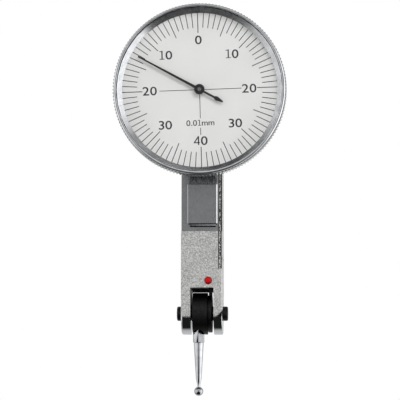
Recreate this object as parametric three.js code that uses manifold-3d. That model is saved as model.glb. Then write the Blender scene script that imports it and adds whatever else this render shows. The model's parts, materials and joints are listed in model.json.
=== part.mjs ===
// A lever type dial test indicator: a knurled dial head on a slim rectangular body, and a
// ball stylus that swings in a fork at the body's lower end.
//
// Lengths are in millimetres. X runs across the body to the viewer's right, Y runs away from
// the viewer, so the dial faces -Y, and Z runs up. While it is built, everything is measured
// from the fork's pivot axis, which lies along X at y = 0, z = 0. The finished group is then
// moved so that its origin is the centre of the front dovetail's face.

import * as THREE from 'three';
import { mergeVertices } from 'three/addons/utils/BufferGeometryUtils.js';
import Module from 'manifold-3d';

const wasm = await Module();
wasm.setup();

// Driving dimensions
const bodyWidth = 9.2;
const bodyDepth = 9.5;
const bodyEdgeChamfer = 0.08;
const dialHeight = 49.4;
const dialPlaneForward = 6.5;
const stylusLength = 17.42;
const ballDiameter = 2.05;
const bezelRadius = 19.3;
const lipForward = 1.86;

// Clearances
const seatGap = 0.05;
const turnGap = 0.08;
const cutOverrun = 1;

// Places that follow from them
const frontY = -bodyDepth / 2;
const backY = bodyDepth / 2;
const leftX = -bodyWidth / 2;
const rightX = bodyWidth / 2;
const dialY = frontY - dialPlaneForward;
const lipY = dialY - lipForward;

// Gear train. Every wheel has the same tooth size, set by the crown wheel, which fills the
// depth of the pocket with its pinion in front of it.
const pocketFrontWall = 1;
const pocketBackWall = 1;
const pinionRoom = 0.75;
const leverRatio = 8;
const sectorTeeth = 84;
const sectorTeethLeft = 11;
const crownPinionTeeth = 14;
const crownTeeth = 40;
const centrePinionTeeth = 14;
const addendumShare = 0.75;
const dedendumShare = 0.95;
const toothThicknessShares = { root: 0.5, tip: 0.24 };
const crownRadius = bodyDepth / 2 - pocketFrontWall - pinionRoom;
const toothModule = 2 * crownRadius / crownTeeth;
const sectorRadius = toothModule * sectorTeeth / 2;
const crownPinionRadius = toothModule * crownPinionTeeth / 2;
const centrePinionRadius = toothModule * centrePinionTeeth / 2;
const addendum = toothModule * addendumShare;
const dedendum = toothModule * dedendumShare;
const sectorZ = dialHeight - sectorRadius - crownPinionRadius;
const contactArm = sectorZ / (1 + leverRatio);
const contactZ = sectorZ - contactArm;

// Train bridge: two screws on posts above the crown wheel, and its foot on the sector's pin
const crownToothLength = 0.45;
const bridgeThickness = 0.75;
const bridgeHalfWidth = 1.5;
const bridgeHalfSpread = 1.7;
const bridgeClearOfCover = 0.3;
const bridgePostRadius = 0.75;
const bridgePostClear = 1.2;
const pocketTopRoom = 0.5;
const pocketTopWall = 4.3;
const bridgePostZ = dialHeight + crownRadius + crownToothLength / 2 + bridgePostClear
  + bridgePostRadius;
const pocketTopZ = bridgePostZ + bridgeHalfWidth + pocketTopRoom;
const bodyTopZ = pocketTopZ + pocketTopWall;

// Numbers of sides of round pieces
const fineSides = 72;
const ringSides = 36;
const drumSides = 28;
const shaftSides = 12;
const stylusSides = 16;
const ballRings = 8;

const fullTurn = 2 * Math.PI;
const upright = Math.PI / 2;

// Finishes
function finish(color, roughness, metalness) {
  return new THREE.MeshStandardMaterial({ color, roughness, metalness });
}
const satinChrome = finish(0xb4b4b4, 0.5, 0.9);
const polishedChrome = finish(0xc8c8c8, 0.2, 1);
const blackOxide = finish(0x1c1c1d, 0.45, 0.6);
const steel = finish(0xb9b9bb, 0.3, 1);
const hardMetal = finish(0x9a9a9e, 0.2, 1);
const brass = finish(0xb9964a, 0.35, 1);
const bronze = finish(0x9c6b3c, 0.4, 1);
const springSteel = finish(0x6f7480, 0.3, 1);
const paperWhite = finish(0xf4f4f2, 0.6, 0);
const clearGlass = finish(0xeef4f6, 0.05, 0);
const blackRubber = finish(0x202020, 0.8, 0);
const handBlack = finish(0x151515, 0.5, 0.1);
const sealRed = finish(0xd41217, 0.2, 0);

// Turns a closed geometry inside out where its faces point inwards.
function facingOut(geometry) {
  const plain = new THREE.BufferGeometry();
  plain.setAttribute('position', geometry.getAttribute('position').clone());
  if (geometry.index) plain.setIndex(geometry.index.clone());
  const merged = mergeVertices(plain, mergeDistance);
  const kept = [];
  const index = merged.index.array;
  for (let i = 0; i < index.length; i += 3) {
    const [a, b, c] = [index[i], index[i + 1], index[i + 2]];
    if (a !== b && b !== c && c !== a) kept.push(a, b, c);
  }
  if (signedVolume(merged.getAttribute('position'), kept) < 0) kept.reverse();
  merged.setIndex(kept);
  return merged;
}

function signedVolume(position, index) {
  const [a, b, c] = [new THREE.Vector3(), new THREE.Vector3(), new THREE.Vector3()];
  let volume = 0;
  for (let i = 0; i < index.length; i += 3) {
    a.fromBufferAttribute(position, index[i]);
    b.fromBufferAttribute(position, index[i + 1]);
    c.fromBufferAttribute(position, index[i + 2]);
    volume += a.dot(b.cross(c)) / 6;
  }
  return volume;
}

const mergeDistance = 1e-5;

// A geometry as a solid that can be joined and cut.
function solid(geometry) {
  const closed = facingOut(geometry);
  const mesh = new wasm.Mesh({
    numProp: 3,
    vertProperties: new Float32Array(closed.getAttribute('position').array),
    triVerts: new Uint32Array(closed.index.array),
  });
  return new wasm.Manifold(mesh);
}

// A solid as a geometry again.
function geometryOf(manifold) {
  const mesh = manifold.getMesh();
  const geometry = new THREE.BufferGeometry();
  geometry.setAttribute('position', new THREE.BufferAttribute(mesh.vertProperties, mesh.numProp));
  geometry.setIndex(new THREE.BufferAttribute(mesh.triVerts, 1));
  return geometry;
}

const indicator = new THREE.Group();

// Adds one finished piece to the indicator.
function piece(name, manifold, material) {
  const geometry = geometryOf(manifold);
  geometry.computeVertexNormals();
  const mesh = new THREE.Mesh(geometry, material);
  mesh.name = name;
  indicator.add(mesh);
}

function joined(...parts) {
  return parts.reduce((whole, part) => whole.add(part));
}

function cut(whole, ...tools) {
  return tools.reduce((left, tool) => left.subtract(tool), whole);
}

// A box from its lowest and highest places along each axis.
function block(x0, x1, y0, y1, z0, z1) {
  const box = new THREE.BoxGeometry(x1 - x0, y1 - y0, z1 - z0);
  box.translate((x0 + x1) / 2, (y0 + y1) / 2, (z0 + z1) / 2);
  return solid(box);
}

// Turned pieces: the profile is a closed list of [radius, place along the axis].
function lathe(profile, sides) {
  const points = [...profile, profile[0]].map(([r, along]) => new THREE.Vector2(r, along));
  return new THREE.LatheGeometry(points, sides);
}

function turnedX(profile, sides, y = 0, z = 0) {
  return solid(lathe(profile, sides).rotateZ(-upright).translate(0, y, z));
}

function turnedY(profile, sides, x = 0, z = 0) {
  return solid(lathe(profile, sides).translate(x, 0, z));
}

function turnedZ(profile, sides, x = 0, y = 0) {
  return solid(lathe(profile, sides).rotateX(upright).translate(x, y, 0));
}

function rodProfile(radius, from, to) {
  return [[0, from], [radius, from], [radius, to], [0, to]];
}

function tubeProfile(inner, outer, from, to) {
  return [[inner, from], [outer, from], [outer, to], [inner, to]];
}

// A flat outline of [y, z] points drawn out along X.
function plateX(outline, x0, x1) {
  const shape = new THREE.Shape(outline.map(([y, z]) => new THREE.Vector2(y, z)));
  const plate = new THREE.ExtrudeGeometry(shape, { depth: x1 - x0, bevelEnabled: false });
  const across = new THREE.Matrix4().makeBasis(
    new THREE.Vector3(0, 1, 0), new THREE.Vector3(0, 0, 1), new THREE.Vector3(1, 0, 0));
  return solid(plate.applyMatrix4(across).translate(x0, 0, 0));
}

// A flat outline of [x, z] points drawn out along Y.
function plateY(outline, y0, y1) {
  const shape = new THREE.Shape(outline.map(([x, z]) => new THREE.Vector2(x, z)));
  const plate = new THREE.ExtrudeGeometry(shape, { depth: y1 - y0, bevelEnabled: false });
  const forward = new THREE.Matrix4().makeBasis(
    new THREE.Vector3(1, 0, 0), new THREE.Vector3(0, 0, 1), new THREE.Vector3(0, -1, 0));
  return solid(plate.applyMatrix4(forward).translate(0, y1, 0));
}

// A flat outline of [x, y] points drawn out along Z.
function plateZ(outline, z0, z1) {
  const shape = new THREE.Shape(outline.map(([x, y]) => new THREE.Vector2(x, y)));
  const plate = new THREE.ExtrudeGeometry(shape, { depth: z1 - z0, bevelEnabled: false });
  return solid(plate.translate(0, 0, z0));
}

// Points of an arc about a centre, from one angle to another.
function arc(cu, cv, radius, from, to, steps) {
  const points = [];
  for (let i = 0; i <= steps; i += 1) {
    const angle = from + (to - from) * i / steps;
    points.push([cu + radius * Math.cos(angle), cv + radius * Math.sin(angle)]);
  }
  return points;
}

// A rectangle with its four corners cut off at 45 degrees.
function chamferedRectangle(u0, u1, v0, v1, c) {
  return [
    [u0 + c, v0], [u1 - c, v0], [u1, v0 + c], [u1, v1 - c],
    [u1 - c, v1], [u0 + c, v1], [u0, v1 - c], [u0, v0 + c],
  ];
}

// Fork: two ears about the pivot, with the slot that the stylus holder turns in. A web closes
// the slot's top at the back.
const slotLeftX = -2.5;
const slotRightX = 2.7;
const slotTopZ = 5.8;
const slotWebThickness = 1.4;
const slotWebDrop = 0.93;
const earSides = 60;
const earLeftRimChamfer = 0.27;
const earRightRimChamfer = 0.1;
const earScrewHoleRadius = 1.08;

// Front dovetail, in a milled recess that runs up under the dial head. The rail's narrower neck
// runs past it at both ends.
const dovetailOffsetX = 0.25;
const dovetailFaceWidth = 6.7;
const dovetailChamfer = 0.1;
const dovetailProud = 0.2;
const dovetailBottomZ = 20.2;
const dovetailTopZ = 28.9;
const dovetailFlank = 0.45;
const dovetailLipHeight = 0.45;
const neckSetback = 0.55;
const neckHeight = 1.2;
const recessDepth = 1.8;
const recessBottomZ = 18.4;
const recessTopZ = 31.6;
const dovetailFaceY = frontY - dovetailProud;
const recessFloorY = frontY + recessDepth;

// Back and end dovetails, of the same width and undercut
const rearRailHeight = 1.8;
const rearRailBelowDial = 10;
const rearRailAboveDial = 6;
const endRailShare = 0.92;

// Side cover, let into the body's right side
const coverThickness = 0.85;
const coverBottomZ = 10.05;
const coverScrewHeadRadius = 1.1;
const coverScrewHeadHeight = 0.45;
const coverScrewRadius = 0.6;
const coverScrewLength = 2.6;
const coverScrewInsetY = 1.6;
const coverScrewLowZ = 12.3;
const coverScrewBelowTop = 2.6;
const driverSlotWidth = 0.3;
const driverSlotDepth = 0.25;

// Pocket for the movement, open to the right under the cover
const pocketLeftWall = 1.4;
const recessWall = 0.9;
const pocketBottomZ = 14.6;
const channelHalfDepth = 1.7;
const channelGap = 0.35;
const pocketLeftX = leftX + pocketLeftWall;
const coverInnerX = rightX - coverThickness;
const pocketFrontY = frontY + pocketFrontWall;
const pocketBackY = backY - pocketBackWall;

// Stylus holder, a drum that turns on the lever's axle
const drumRadius = 4.7;
const drumSideGap = 0.4;
const drumRightX = 1.2;
const drumEdge = 0.2;
const drumLeftX = slotLeftX + drumSideGap;
const seatArchRadius = 1.45;
const seatArchZ = -5;
const stylusX = -0.88;

// Lever: a round cheek beside the drum, with a long arm up into the body
const clutchThickness = 0.2;
const clutchRadius = 4.1;
const cheekRadius = 4.25;
const cheekLeftX = drumRightX + seatGap + clutchThickness + seatGap;
const cheekSideGap = 0.5;
const cheekRightX = slotRightX - cheekSideGap;
const axleRadius = 1;
const axleEndGap = 0.25;
const axleEndRecess = 0.65;
const axleRecessRadius = 0.7;
const armWidthAtCheek = 2.6;
const armWidthAtTip = 1.5;
const leverPinRadius = 0.3;

// Places of the movement's pieces across the body
const sectorLeftX = 0.6;
const sectorThickness = 0.6;
const sectorHubRadius = 1.2;
const sectorHubLength = 1.6;
const sectorPinRadius = 0.5;
const sectorTailWidth = 1.3;
const sectorRimWidth = 0.9;
const crownThickness = 0.6;
const crownHubRadius = 0.9;
const crownHubLength = 1.1;
const arborRadius = 0.4;
const crownPinionLength = 1;
const bushRadius = 0.9;
const smallScrewRadius = 0.4;
const smallScrewHeadRadius = 0.75;
const smallScrewHeadHeight = 0.4;
const smallScrewLength = 2.2;
const bridgeRightX = coverInnerX - bridgeClearOfCover;
const bridgeLeftX = bridgeRightX - bridgeThickness;

// Dial head, from the body's front face forwards
const bezelWall = 1.4;
const caseTurnGap = 0.1;
const caseWall = 1.1;
const caseBase = 1.2;
const caseRimBehindDial = 1;
const caseCentreHole = 1.55;
const caseScrewInset = 1.5;
const caseScrewX = bodyWidth / 2 - caseScrewInset;
const caseScrewHeight = 7.2;
const knurlTeeth = 160;
const knurlDepth = 0.32;
const knurlBackBehindDial = 2.7;
const bezelBackRim = 0.35;
const bezelFrontBand = 0.65;
const lipInset = 0.3;
const lipWidth = 0.6;
const slopeWidth = 1.15;
const crystalUnderLip = 0.2;
const lipOuterRadius = bezelRadius - lipInset;
const lipInnerRadius = lipOuterRadius - lipWidth;
const crystalRadius = lipInnerRadius + crystalUnderLip;
const windowRadius = lipInnerRadius - slopeWidth;
const bezelBore = bezelRadius - bezelWall;
const caseRadius = bezelBore - caseTurnGap;
const crystalThickness = 0.5;
const crystalBehindLip = 0.15;
const gasketHeight = 0.15;
const gasketWidth = 0.25;
const dialPlateThickness = 0.3;
const dialPlateHole = 0.9;
const retainingRingThickness = 0.4;
const retainingRingWidth = 1;
const springWire = 0.35;

// Centre arbor, its bearings, the hand and the hairspring
const cockThickness = 0.8;
const cockBehindDial = 1.9;
const cockHalfWidth = 2.2;
const cockInsideCase = 5.2;
const cockPillarRadius = 1.5;
const cockPillarInset = 1.7;
const cockHalfLength = caseRadius - caseWall - cockInsideCase;
const cockPillarPlace = cockHalfLength - cockPillarInset;
const bushFlange = 0.3;
const collarRadius = 0.85;
const collarLength = 0.8;
const handPlaneForward = 0.5;
const handThickness = 0.16;
const handAngle = THREE.MathUtils.degToRad(61.3);
const handTipInsideWindow = 1.65;
const handLength = windowRadius - handTipInsideWindow;
const handTipWidth = 0.3;
const handRootWidth = 0.6;
const tailRodWidth = 0.45;
const handTail = 5.9;
const tailLeafLength = 2.2;
const tailLeafWidth = 1;
const tailTipWidth = 0.3;
const hubRadius = 1.15;
const hubHeight = 0.55;
const hairspringTurns = 5;
const hairspringPitch = 0.62;
const hairspringStrip = 0.2;
const hairspringHeight = 0.45;
const hairspringSteps = 12;
const studRadius = 0.5;

// Pivot screws in the ears, and the sealed screw under the red drop
const pivotScrewHeadRadius = 1.62;
const pivotScrewHead = 1.1;
const pivotScrewRadius = 1;
const pivotScrewEdge = 0.25;
const conePointRadius = 0.5;
const conePointLength = 0.6;
const thrustWasherRadius = 1.6;
const sealX = 1.54;
const sealZ = 7.36;
const sealRadius = 0.85;
const sealRise = 0.32;
const sealDepth = 0.4;
const sealedScrewRadius = 0.6;
const sealedScrewLength = 1.3;

// Stylus: [radius, distance below the pivot] down the shank
const stylusThreadRadius = 0.7;
const stylusThreadTop = 1.45;
const stylusNeckRadius = 1.3;
const stylusNeckTop = 3.65;
const stylusNeckBottom = 6.4;
const stylusTaperTop = 6.55;
const stylusTaperTopRadius = 1.13;
const stylusTaperBottom = 14.5;
const stylusTaperBottomRadius = 0.65;
const stylusNoseBottom = 15.9;
const stylusNoseRadius = 0.37;
const spannerFlat = 1;
const spannerTurn = THREE.MathUtils.degToRad(40);

// Undercut rail: its section across the body, [across, height], standing on height 0.
function dovetailSection(centre, height, faceWidth) {
  const face = faceWidth / 2;
  const foot = face - dovetailFlank;
  return [
    [centre - foot, 0], [centre + foot, 0],
    [centre + face, height - dovetailLipHeight],
    [centre + face, height - dovetailChamfer],
    [centre + face - dovetailChamfer, height],
    [centre - face + dovetailChamfer, height],
    [centre - face, height - dovetailChamfer],
    [centre - face, height - dovetailLipHeight],
  ];
}

// The body before it is cut: a bar with its top edges broken, and a turned end round the pivot
const bodySide = [
  [frontY, 0], [backY, 0], [backY, bodyTopZ - bodyEdgeChamfer],
  [backY - bodyEdgeChamfer, bodyTopZ], [frontY + bodyEdgeChamfer, bodyTopZ],
  [frontY, bodyTopZ - bodyEdgeChamfer],
];
const bodyPlan = chamferedRectangle(leftX, rightX, frontY, backY, bodyEdgeChamfer);
const bar = plateX(bodySide, leftX, rightX)
  .intersect(plateZ(bodyPlan, -cutOverrun, bodyTopZ + cutOverrun));
const roundEnd = turnedX([
  [0, leftX], [bodyDepth / 2 - earLeftRimChamfer, leftX],
  [bodyDepth / 2, leftX + earLeftRimChamfer], [bodyDepth / 2, rightX - earRightRimChamfer],
  [bodyDepth / 2 - earRightRimChamfer, rightX], [0, rightX],
], earSides);
const fullBody = joined(bar, roundEnd);
const recessCut = block(
  leftX - cutOverrun, rightX + cutOverrun, frontY - cutOverrun, recessFloorY,
  recessBottomZ, recessTopZ);

// Screws in the side cover: their places, [y, z]
const coverScrewPlaces = [
  [frontY + coverScrewInsetY, coverScrewLowZ],
  [backY - coverScrewInsetY, coverScrewLowZ],
  [frontY + coverScrewInsetY, bodyTopZ - coverScrewBelowTop],
  [backY - coverScrewInsetY, bodyTopZ - coverScrewBelowTop],
];
const bridgeScrewPlaces = [[-bridgeHalfSpread, bridgePostZ], [bridgeHalfSpread, bridgePostZ]];
const caseScrewPlaces = [
  [-caseScrewX, dialHeight + caseScrewHeight],
  [caseScrewX, dialHeight + caseScrewHeight],
  [-caseScrewX, dialHeight - caseScrewHeight],
  [caseScrewX, dialHeight - caseScrewHeight],
];

// Housing
function makeHousing() {
  const coverSeat = block(
    coverInnerX, rightX + cutOverrun, frontY - cutOverrun, backY + cutOverrun,
    coverBottomZ, bodyTopZ + cutOverrun);
  const slot = joined(
    block(slotLeftX, slotRightX, frontY - cutOverrun, backY - slotWebThickness,
      -bodyDepth, slotTopZ),
    block(slotLeftX, slotRightX, frontY - cutOverrun, backY + cutOverrun,
      -bodyDepth, slotTopZ - slotWebDrop));
  const pocket = plateX([
    [pocketBackY, pocketBottomZ], [pocketBackY, pocketTopZ],
    [pocketFrontY, pocketTopZ], [pocketFrontY, recessTopZ + recessWall],
    [recessFloorY + recessWall, recessTopZ + recessWall],
    [recessFloorY + recessWall, pocketBottomZ],
  ], pocketLeftX, coverInnerX + cutOverrun);
  const channel = block(
    cheekLeftX - channelGap, cheekRightX + channelGap, -channelHalfDepth, channelHalfDepth,
    slotTopZ - cutOverrun, pocketBottomZ + cutOverrun);
  const screwAxis = rodProfile(earScrewHoleRadius, leftX - cutOverrun, rightX + cutOverrun);
  const frontRail = dovetailSection(
    dovetailOffsetX, recessFloorY - dovetailFaceY, dovetailFaceWidth);
  const rearRail = dovetailSection(0, rearRailHeight, dovetailFaceWidth);
  const endRail = dovetailSection(0, rearRailHeight, dovetailFaceWidth * endRailShare);
  const neck = block(
    dovetailOffsetX - dovetailFaceWidth / 2 + dovetailFlank,
    dovetailOffsetX + dovetailFaceWidth / 2 - dovetailFlank,
    recessFloorY - neckHeight, recessFloorY + seatGap,
    dovetailBottomZ - neckSetback, recessTopZ);
  const rails = [
    plateZ(frontRail.map(([x, h]) => [x, recessFloorY - h]), dovetailBottomZ, dovetailTopZ),
    plateZ(rearRail.map(([x, h]) => [x, backY + h]),
      dialHeight - rearRailBelowDial, dialHeight + rearRailAboveDial),
    plateY(endRail.map(([x, h]) => [x, bodyTopZ + h]),
      frontY + bodyEdgeChamfer, backY - bodyEdgeChamfer),
  ];
  const roomForCover = block(
    coverInnerX, rightX + cutOverrun, frontY, backY, coverBottomZ, bodyTopZ);
  const posts = bridgeScrewPlaces.map(([y, z]) => turnedX(
    rodProfile(bridgePostRadius, pocketLeftX - seatGap, bridgeLeftX - seatGap),
    shaftSides, y, z));
  const holes = [
    turnedX(screwAxis, shaftSides),
    turnedX(rodProfile(sectorPinRadius + seatGap, leftX - cutOverrun, 0), shaftSides, 0, sectorZ),
    turnedX(rodProfile(bushRadius + seatGap, leftX - cutOverrun, 0), shaftSides, 0, dialHeight),
    turnedY(rodProfile(caseCentreHole, frontY - cutOverrun, pocketFrontY + cutOverrun),
      shaftSides, 0, dialHeight),
    turnedY(rodProfile(sealRadius + seatGap, frontY - cutOverrun, frontY + sealDepth + seatGap),
      shaftSides, sealX, sealZ),
    turnedY(rodProfile(sealedScrewRadius + seatGap, frontY - cutOverrun,
      frontY + sealDepth + sealedScrewLength + 4 * seatGap), shaftSides, sealX, sealZ),
    ...coverScrewPlaces.map(([y, z]) => turnedX(
      rodProfile(coverScrewRadius + seatGap, rightX - coverScrewLength - 2 * seatGap,
        rightX + cutOverrun), shaftSides, y, z)),
    ...bridgeScrewPlaces.map(([y, z]) => turnedX(
      rodProfile(smallScrewRadius + seatGap, bridgeRightX - smallScrewLength - seatGap,
        rightX + cutOverrun), shaftSides, y, z)),
    ...caseScrewPlaces.map(([x, z]) => turnedY(
      rodProfile(smallScrewRadius + seatGap, frontY - cutOverrun, pocketFrontY + cutOverrun),
      shaftSides, x, z)),
  ];
  const hollow = cut(fullBody, coverSeat, slot, recessCut, pocket, channel);
  return cut(joined(hollow, ...rails, neck, ...posts), ...holes, roomForCover);
}
piece('housing', makeHousing(), satinChrome);

// Screw with a round slotted head, its head towards the plus end of its axis
function slottedHead(headRadius, headFrom, headTo, radius, tip) {
  return [[0, tip], [radius, tip], [radius, headFrom], [headRadius, headFrom],
    [headRadius, headTo], [0, headTo]];
}

// Side cover and its screws
function makeSideCover() {
  const plate = fullBody.intersect(block(
    coverInnerX + seatGap, rightX + cutOverrun, frontY - cutOverrun, backY + cutOverrun,
    coverBottomZ + seatGap, bodyTopZ + cutOverrun));
  const holes = coverScrewPlaces.flatMap(([y, z]) => [
    turnedX(rodProfile(coverScrewRadius + seatGap, 0, rightX + cutOverrun), shaftSides, y, z),
    turnedX(rodProfile(coverScrewHeadRadius + seatGap, rightX - coverScrewHeadHeight - seatGap,
      rightX + cutOverrun), shaftSides, y, z),
  ]);
  return cut(plate, recessCut, ...holes);
}
piece('side_cover', makeSideCover(), satinChrome);

coverScrewPlaces.forEach(([y, z], i) => {
  const body = turnedX(slottedHead(coverScrewHeadRadius, rightX - coverScrewHeadHeight, rightX,
    coverScrewRadius, rightX - coverScrewLength), shaftSides, y, z);
  const driver = block(rightX - driverSlotDepth, rightX + cutOverrun,
    y - coverScrewHeadRadius - cutOverrun, y + coverScrewHeadRadius + cutOverrun,
    z - driverSlotWidth / 2, z + driverSlotWidth / 2);
  piece(`side_cover_screw_${i + 1}`, cut(body, driver), steel);
});

// Pivot screws: slotted heads outside the ears, cone points in the ends of the axle
function makePivotScrew(side, earX, slotX) {
  const head = earX + side * seatGap;
  const top = head + side * pivotScrewHead;
  const profile = [
    [0, slotX + side * seatGap - side * conePointLength],
    [conePointRadius, slotX + side * seatGap],
    [pivotScrewRadius, slotX + side * seatGap],
    [pivotScrewRadius, head], [pivotScrewHeadRadius, head],
    [pivotScrewHeadRadius, top - side * pivotScrewEdge],
    [pivotScrewHeadRadius - pivotScrewEdge, top], [0, top],
  ];
  const driver = block(
    Math.min(top - side * driverSlotDepth, top + side * cutOverrun),
    Math.max(top - side * driverSlotDepth, top + side * cutOverrun),
    -driverSlotWidth / 2, driverSlotWidth / 2,
    -pivotScrewHeadRadius - cutOverrun, pivotScrewHeadRadius + cutOverrun);
  return cut(turnedX(profile, shaftSides), driver);
}
piece('pivot_screw_left', makePivotScrew(-1, leftX, slotLeftX), blackOxide);
piece('pivot_screw_right', makePivotScrew(1, rightX, slotRightX), blackOxide);

// Sealed screw and the red drop over it
const sealedScrewTop = frontY + sealDepth + 2 * seatGap;
piece('sealed_screw', turnedY(
  rodProfile(sealedScrewRadius, sealedScrewTop, sealedScrewTop + sealedScrewLength),
  shaftSides, sealX, sealZ), steel);
const sealDome = arc(0, 0, 1, 0, upright, 5)
  .map(([r, h]) => [sealRadius * r, frontY - sealRise * h]);
piece('red_seal', turnedY([...sealDome, [0, frontY + sealDepth], [sealRadius, frontY + sealDepth]],
  shaftSides, sealX, sealZ), sealRed);

// Lever axle, with a cone recess in each end
const axleLeftX = slotLeftX + axleEndGap;
const axleRightX = slotRightX - axleEndGap;
piece('lever_axle', turnedX([
  [0, axleLeftX + axleEndRecess], [axleRecessRadius, axleLeftX], [axleRadius, axleLeftX],
  [axleRadius, axleRightX], [axleRecessRadius, axleRightX], [0, axleRightX - axleEndRecess],
], shaftSides), steel);

// Thrust washers round the axle's ends, between the turning pieces and the ears
const thrustWasherHole = axleRadius + seatGap;
piece('thrust_washer_left', turnedX(tubeProfile(thrustWasherHole, thrustWasherRadius,
  slotLeftX + seatGap, drumLeftX - seatGap), stylusSides), blackOxide);
piece('thrust_washer_right', turnedX(tubeProfile(thrustWasherHole, thrustWasherRadius,
  cheekRightX + seatGap, slotRightX - seatGap), stylusSides), blackOxide);

// Main lever: cheek and arm in one flat piece
function makeMainLever() {
  const cheek = turnedX(tubeProfile(axleRadius + seatGap, cheekRadius, cheekLeftX, cheekRightX),
    drumSides);
  const arm = plateX([
    [-armWidthAtCheek / 2, axleRadius + seatGap + drumEdge],
    [armWidthAtCheek / 2, axleRadius + seatGap + drumEdge],
    [armWidthAtTip / 2, contactZ], ...arc(0, contactZ, armWidthAtTip / 2, 0, Math.PI, 6).slice(1),
  ], cheekLeftX, cheekRightX);
  const pinHole = turnedX(rodProfile(leverPinRadius + seatGap, cheekLeftX - cutOverrun,
    cheekRightX + cutOverrun), shaftSides, 0, contactZ);
  return cut(joined(cheek, arm), pinHole);
}
piece('main_lever', makeMainLever(), blackOxide);
piece('lever_pin', turnedX(rodProfile(leverPinRadius, sectorLeftX - seatGap, cheekRightX),
  shaftSides, 0, contactZ), hardMetal);
piece('clutch_washer', turnedX(tubeProfile(axleRadius + seatGap, clutchRadius,
  drumRightX + seatGap, cheekLeftX - seatGap), stylusSides), blackOxide);

// Stylus holder, with the arched seat that the stylus screws into
function makeStylusHolder() {
  const drum = turnedX([
    [axleRadius + turnGap, drumLeftX], [drumRadius - drumEdge, drumLeftX],
    [drumRadius, drumLeftX + drumEdge], [drumRadius, drumRightX - drumEdge],
    [drumRadius - drumEdge, drumRightX], [axleRadius + turnGap, drumRightX],
  ], drumSides);
  const arch = turnedY(rodProfile(seatArchRadius, -bodyDepth, bodyDepth), drumSides,
    stylusX, seatArchZ);
  const thread = turnedZ(rodProfile(stylusThreadRadius + seatGap, -drumRadius,
    -stylusThreadTop + seatGap), shaftSides, stylusX);
  const neck = turnedZ(rodProfile(stylusNeckRadius + seatGap, -drumRadius,
    -stylusNeckTop + seatGap), shaftSides, stylusX);
  return cut(drum, arch, thread, neck);
}
piece('stylus_holder', makeStylusHolder(), blackOxide);

// Stylus and its ball
const ballRadius = ballDiameter / 2;
const ballSocketDepth = stylusLength - Math.sqrt(
  (ballRadius + seatGap) ** 2 - stylusNoseRadius ** 2);
function makeStylusShank() {
  const shank = turnedZ([
    [0, -stylusThreadTop], [stylusThreadRadius, -stylusThreadTop],
    [stylusThreadRadius, -stylusNeckTop], [stylusNeckRadius, -stylusNeckTop],
    [stylusNeckRadius, -stylusNeckBottom], [stylusTaperTopRadius, -stylusTaperTop],
    [stylusTaperBottomRadius, -stylusTaperBottom], [stylusNoseRadius, -stylusNoseBottom],
    [stylusNoseRadius, -ballSocketDepth], [0, -ballSocketDepth],
  ], stylusSides, stylusX);
  const flat = (turn) => {
    const tool = new THREE.BoxGeometry(2 * (stylusNeckRadius + cutOverrun), stylusNeckRadius,
      stylusNeckBottom - stylusNeckTop + cutOverrun);
    tool.translate(0, -spannerFlat - stylusNeckRadius / 2,
      -(stylusNeckBottom + stylusNeckTop - cutOverrun) / 2);
    tool.rotateZ(turn).translate(stylusX, 0, 0);
    return solid(tool);
  };
  const ball = new THREE.SphereGeometry(ballRadius + seatGap, stylusSides, ballRings);
  ball.rotateX(upright).translate(stylusX, 0, -stylusLength);
  return cut(shank, flat(spannerTurn), flat(spannerTurn + Math.PI), solid(ball));
}
piece('stylus_shank', makeStylusShank(), polishedChrome);
const ballGeometry = new THREE.SphereGeometry(ballRadius, stylusSides, ballRings);
ballGeometry.rotateX(upright).translate(stylusX, 0, -stylusLength);
piece('stylus_ball', solid(ballGeometry), hardMetal);

// Tooth outline points [across, along] about a centre, first tooth towards `start`
function toothedArc(teeth, firstTooth, lastTooth, start) {
  const pitchRadius = toothModule * teeth / 2;
  const pitch = fullTurn / teeth;
  const rootHalf = pitch * toothThicknessShares.root / 2;
  const tipHalf = pitch * toothThicknessShares.tip / 2;
  const points = [];
  for (let tooth = firstTooth; tooth <= lastTooth; tooth += 1) {
    const middle = start + tooth * pitch;
    const corners = [
      [pitchRadius - dedendum, -rootHalf], [pitchRadius + addendum, -tipHalf],
      [pitchRadius + addendum, tipHalf], [pitchRadius - dedendum, rootHalf],
    ];
    corners.forEach(([r, turn]) => points.push(
      [r * Math.cos(middle + turn), r * Math.sin(middle + turn)]));
  }
  return points;
}

function shifted(points, du, dv) {
  return points.map(([u, v]) => [u + du, v + dv]);
}

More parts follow.
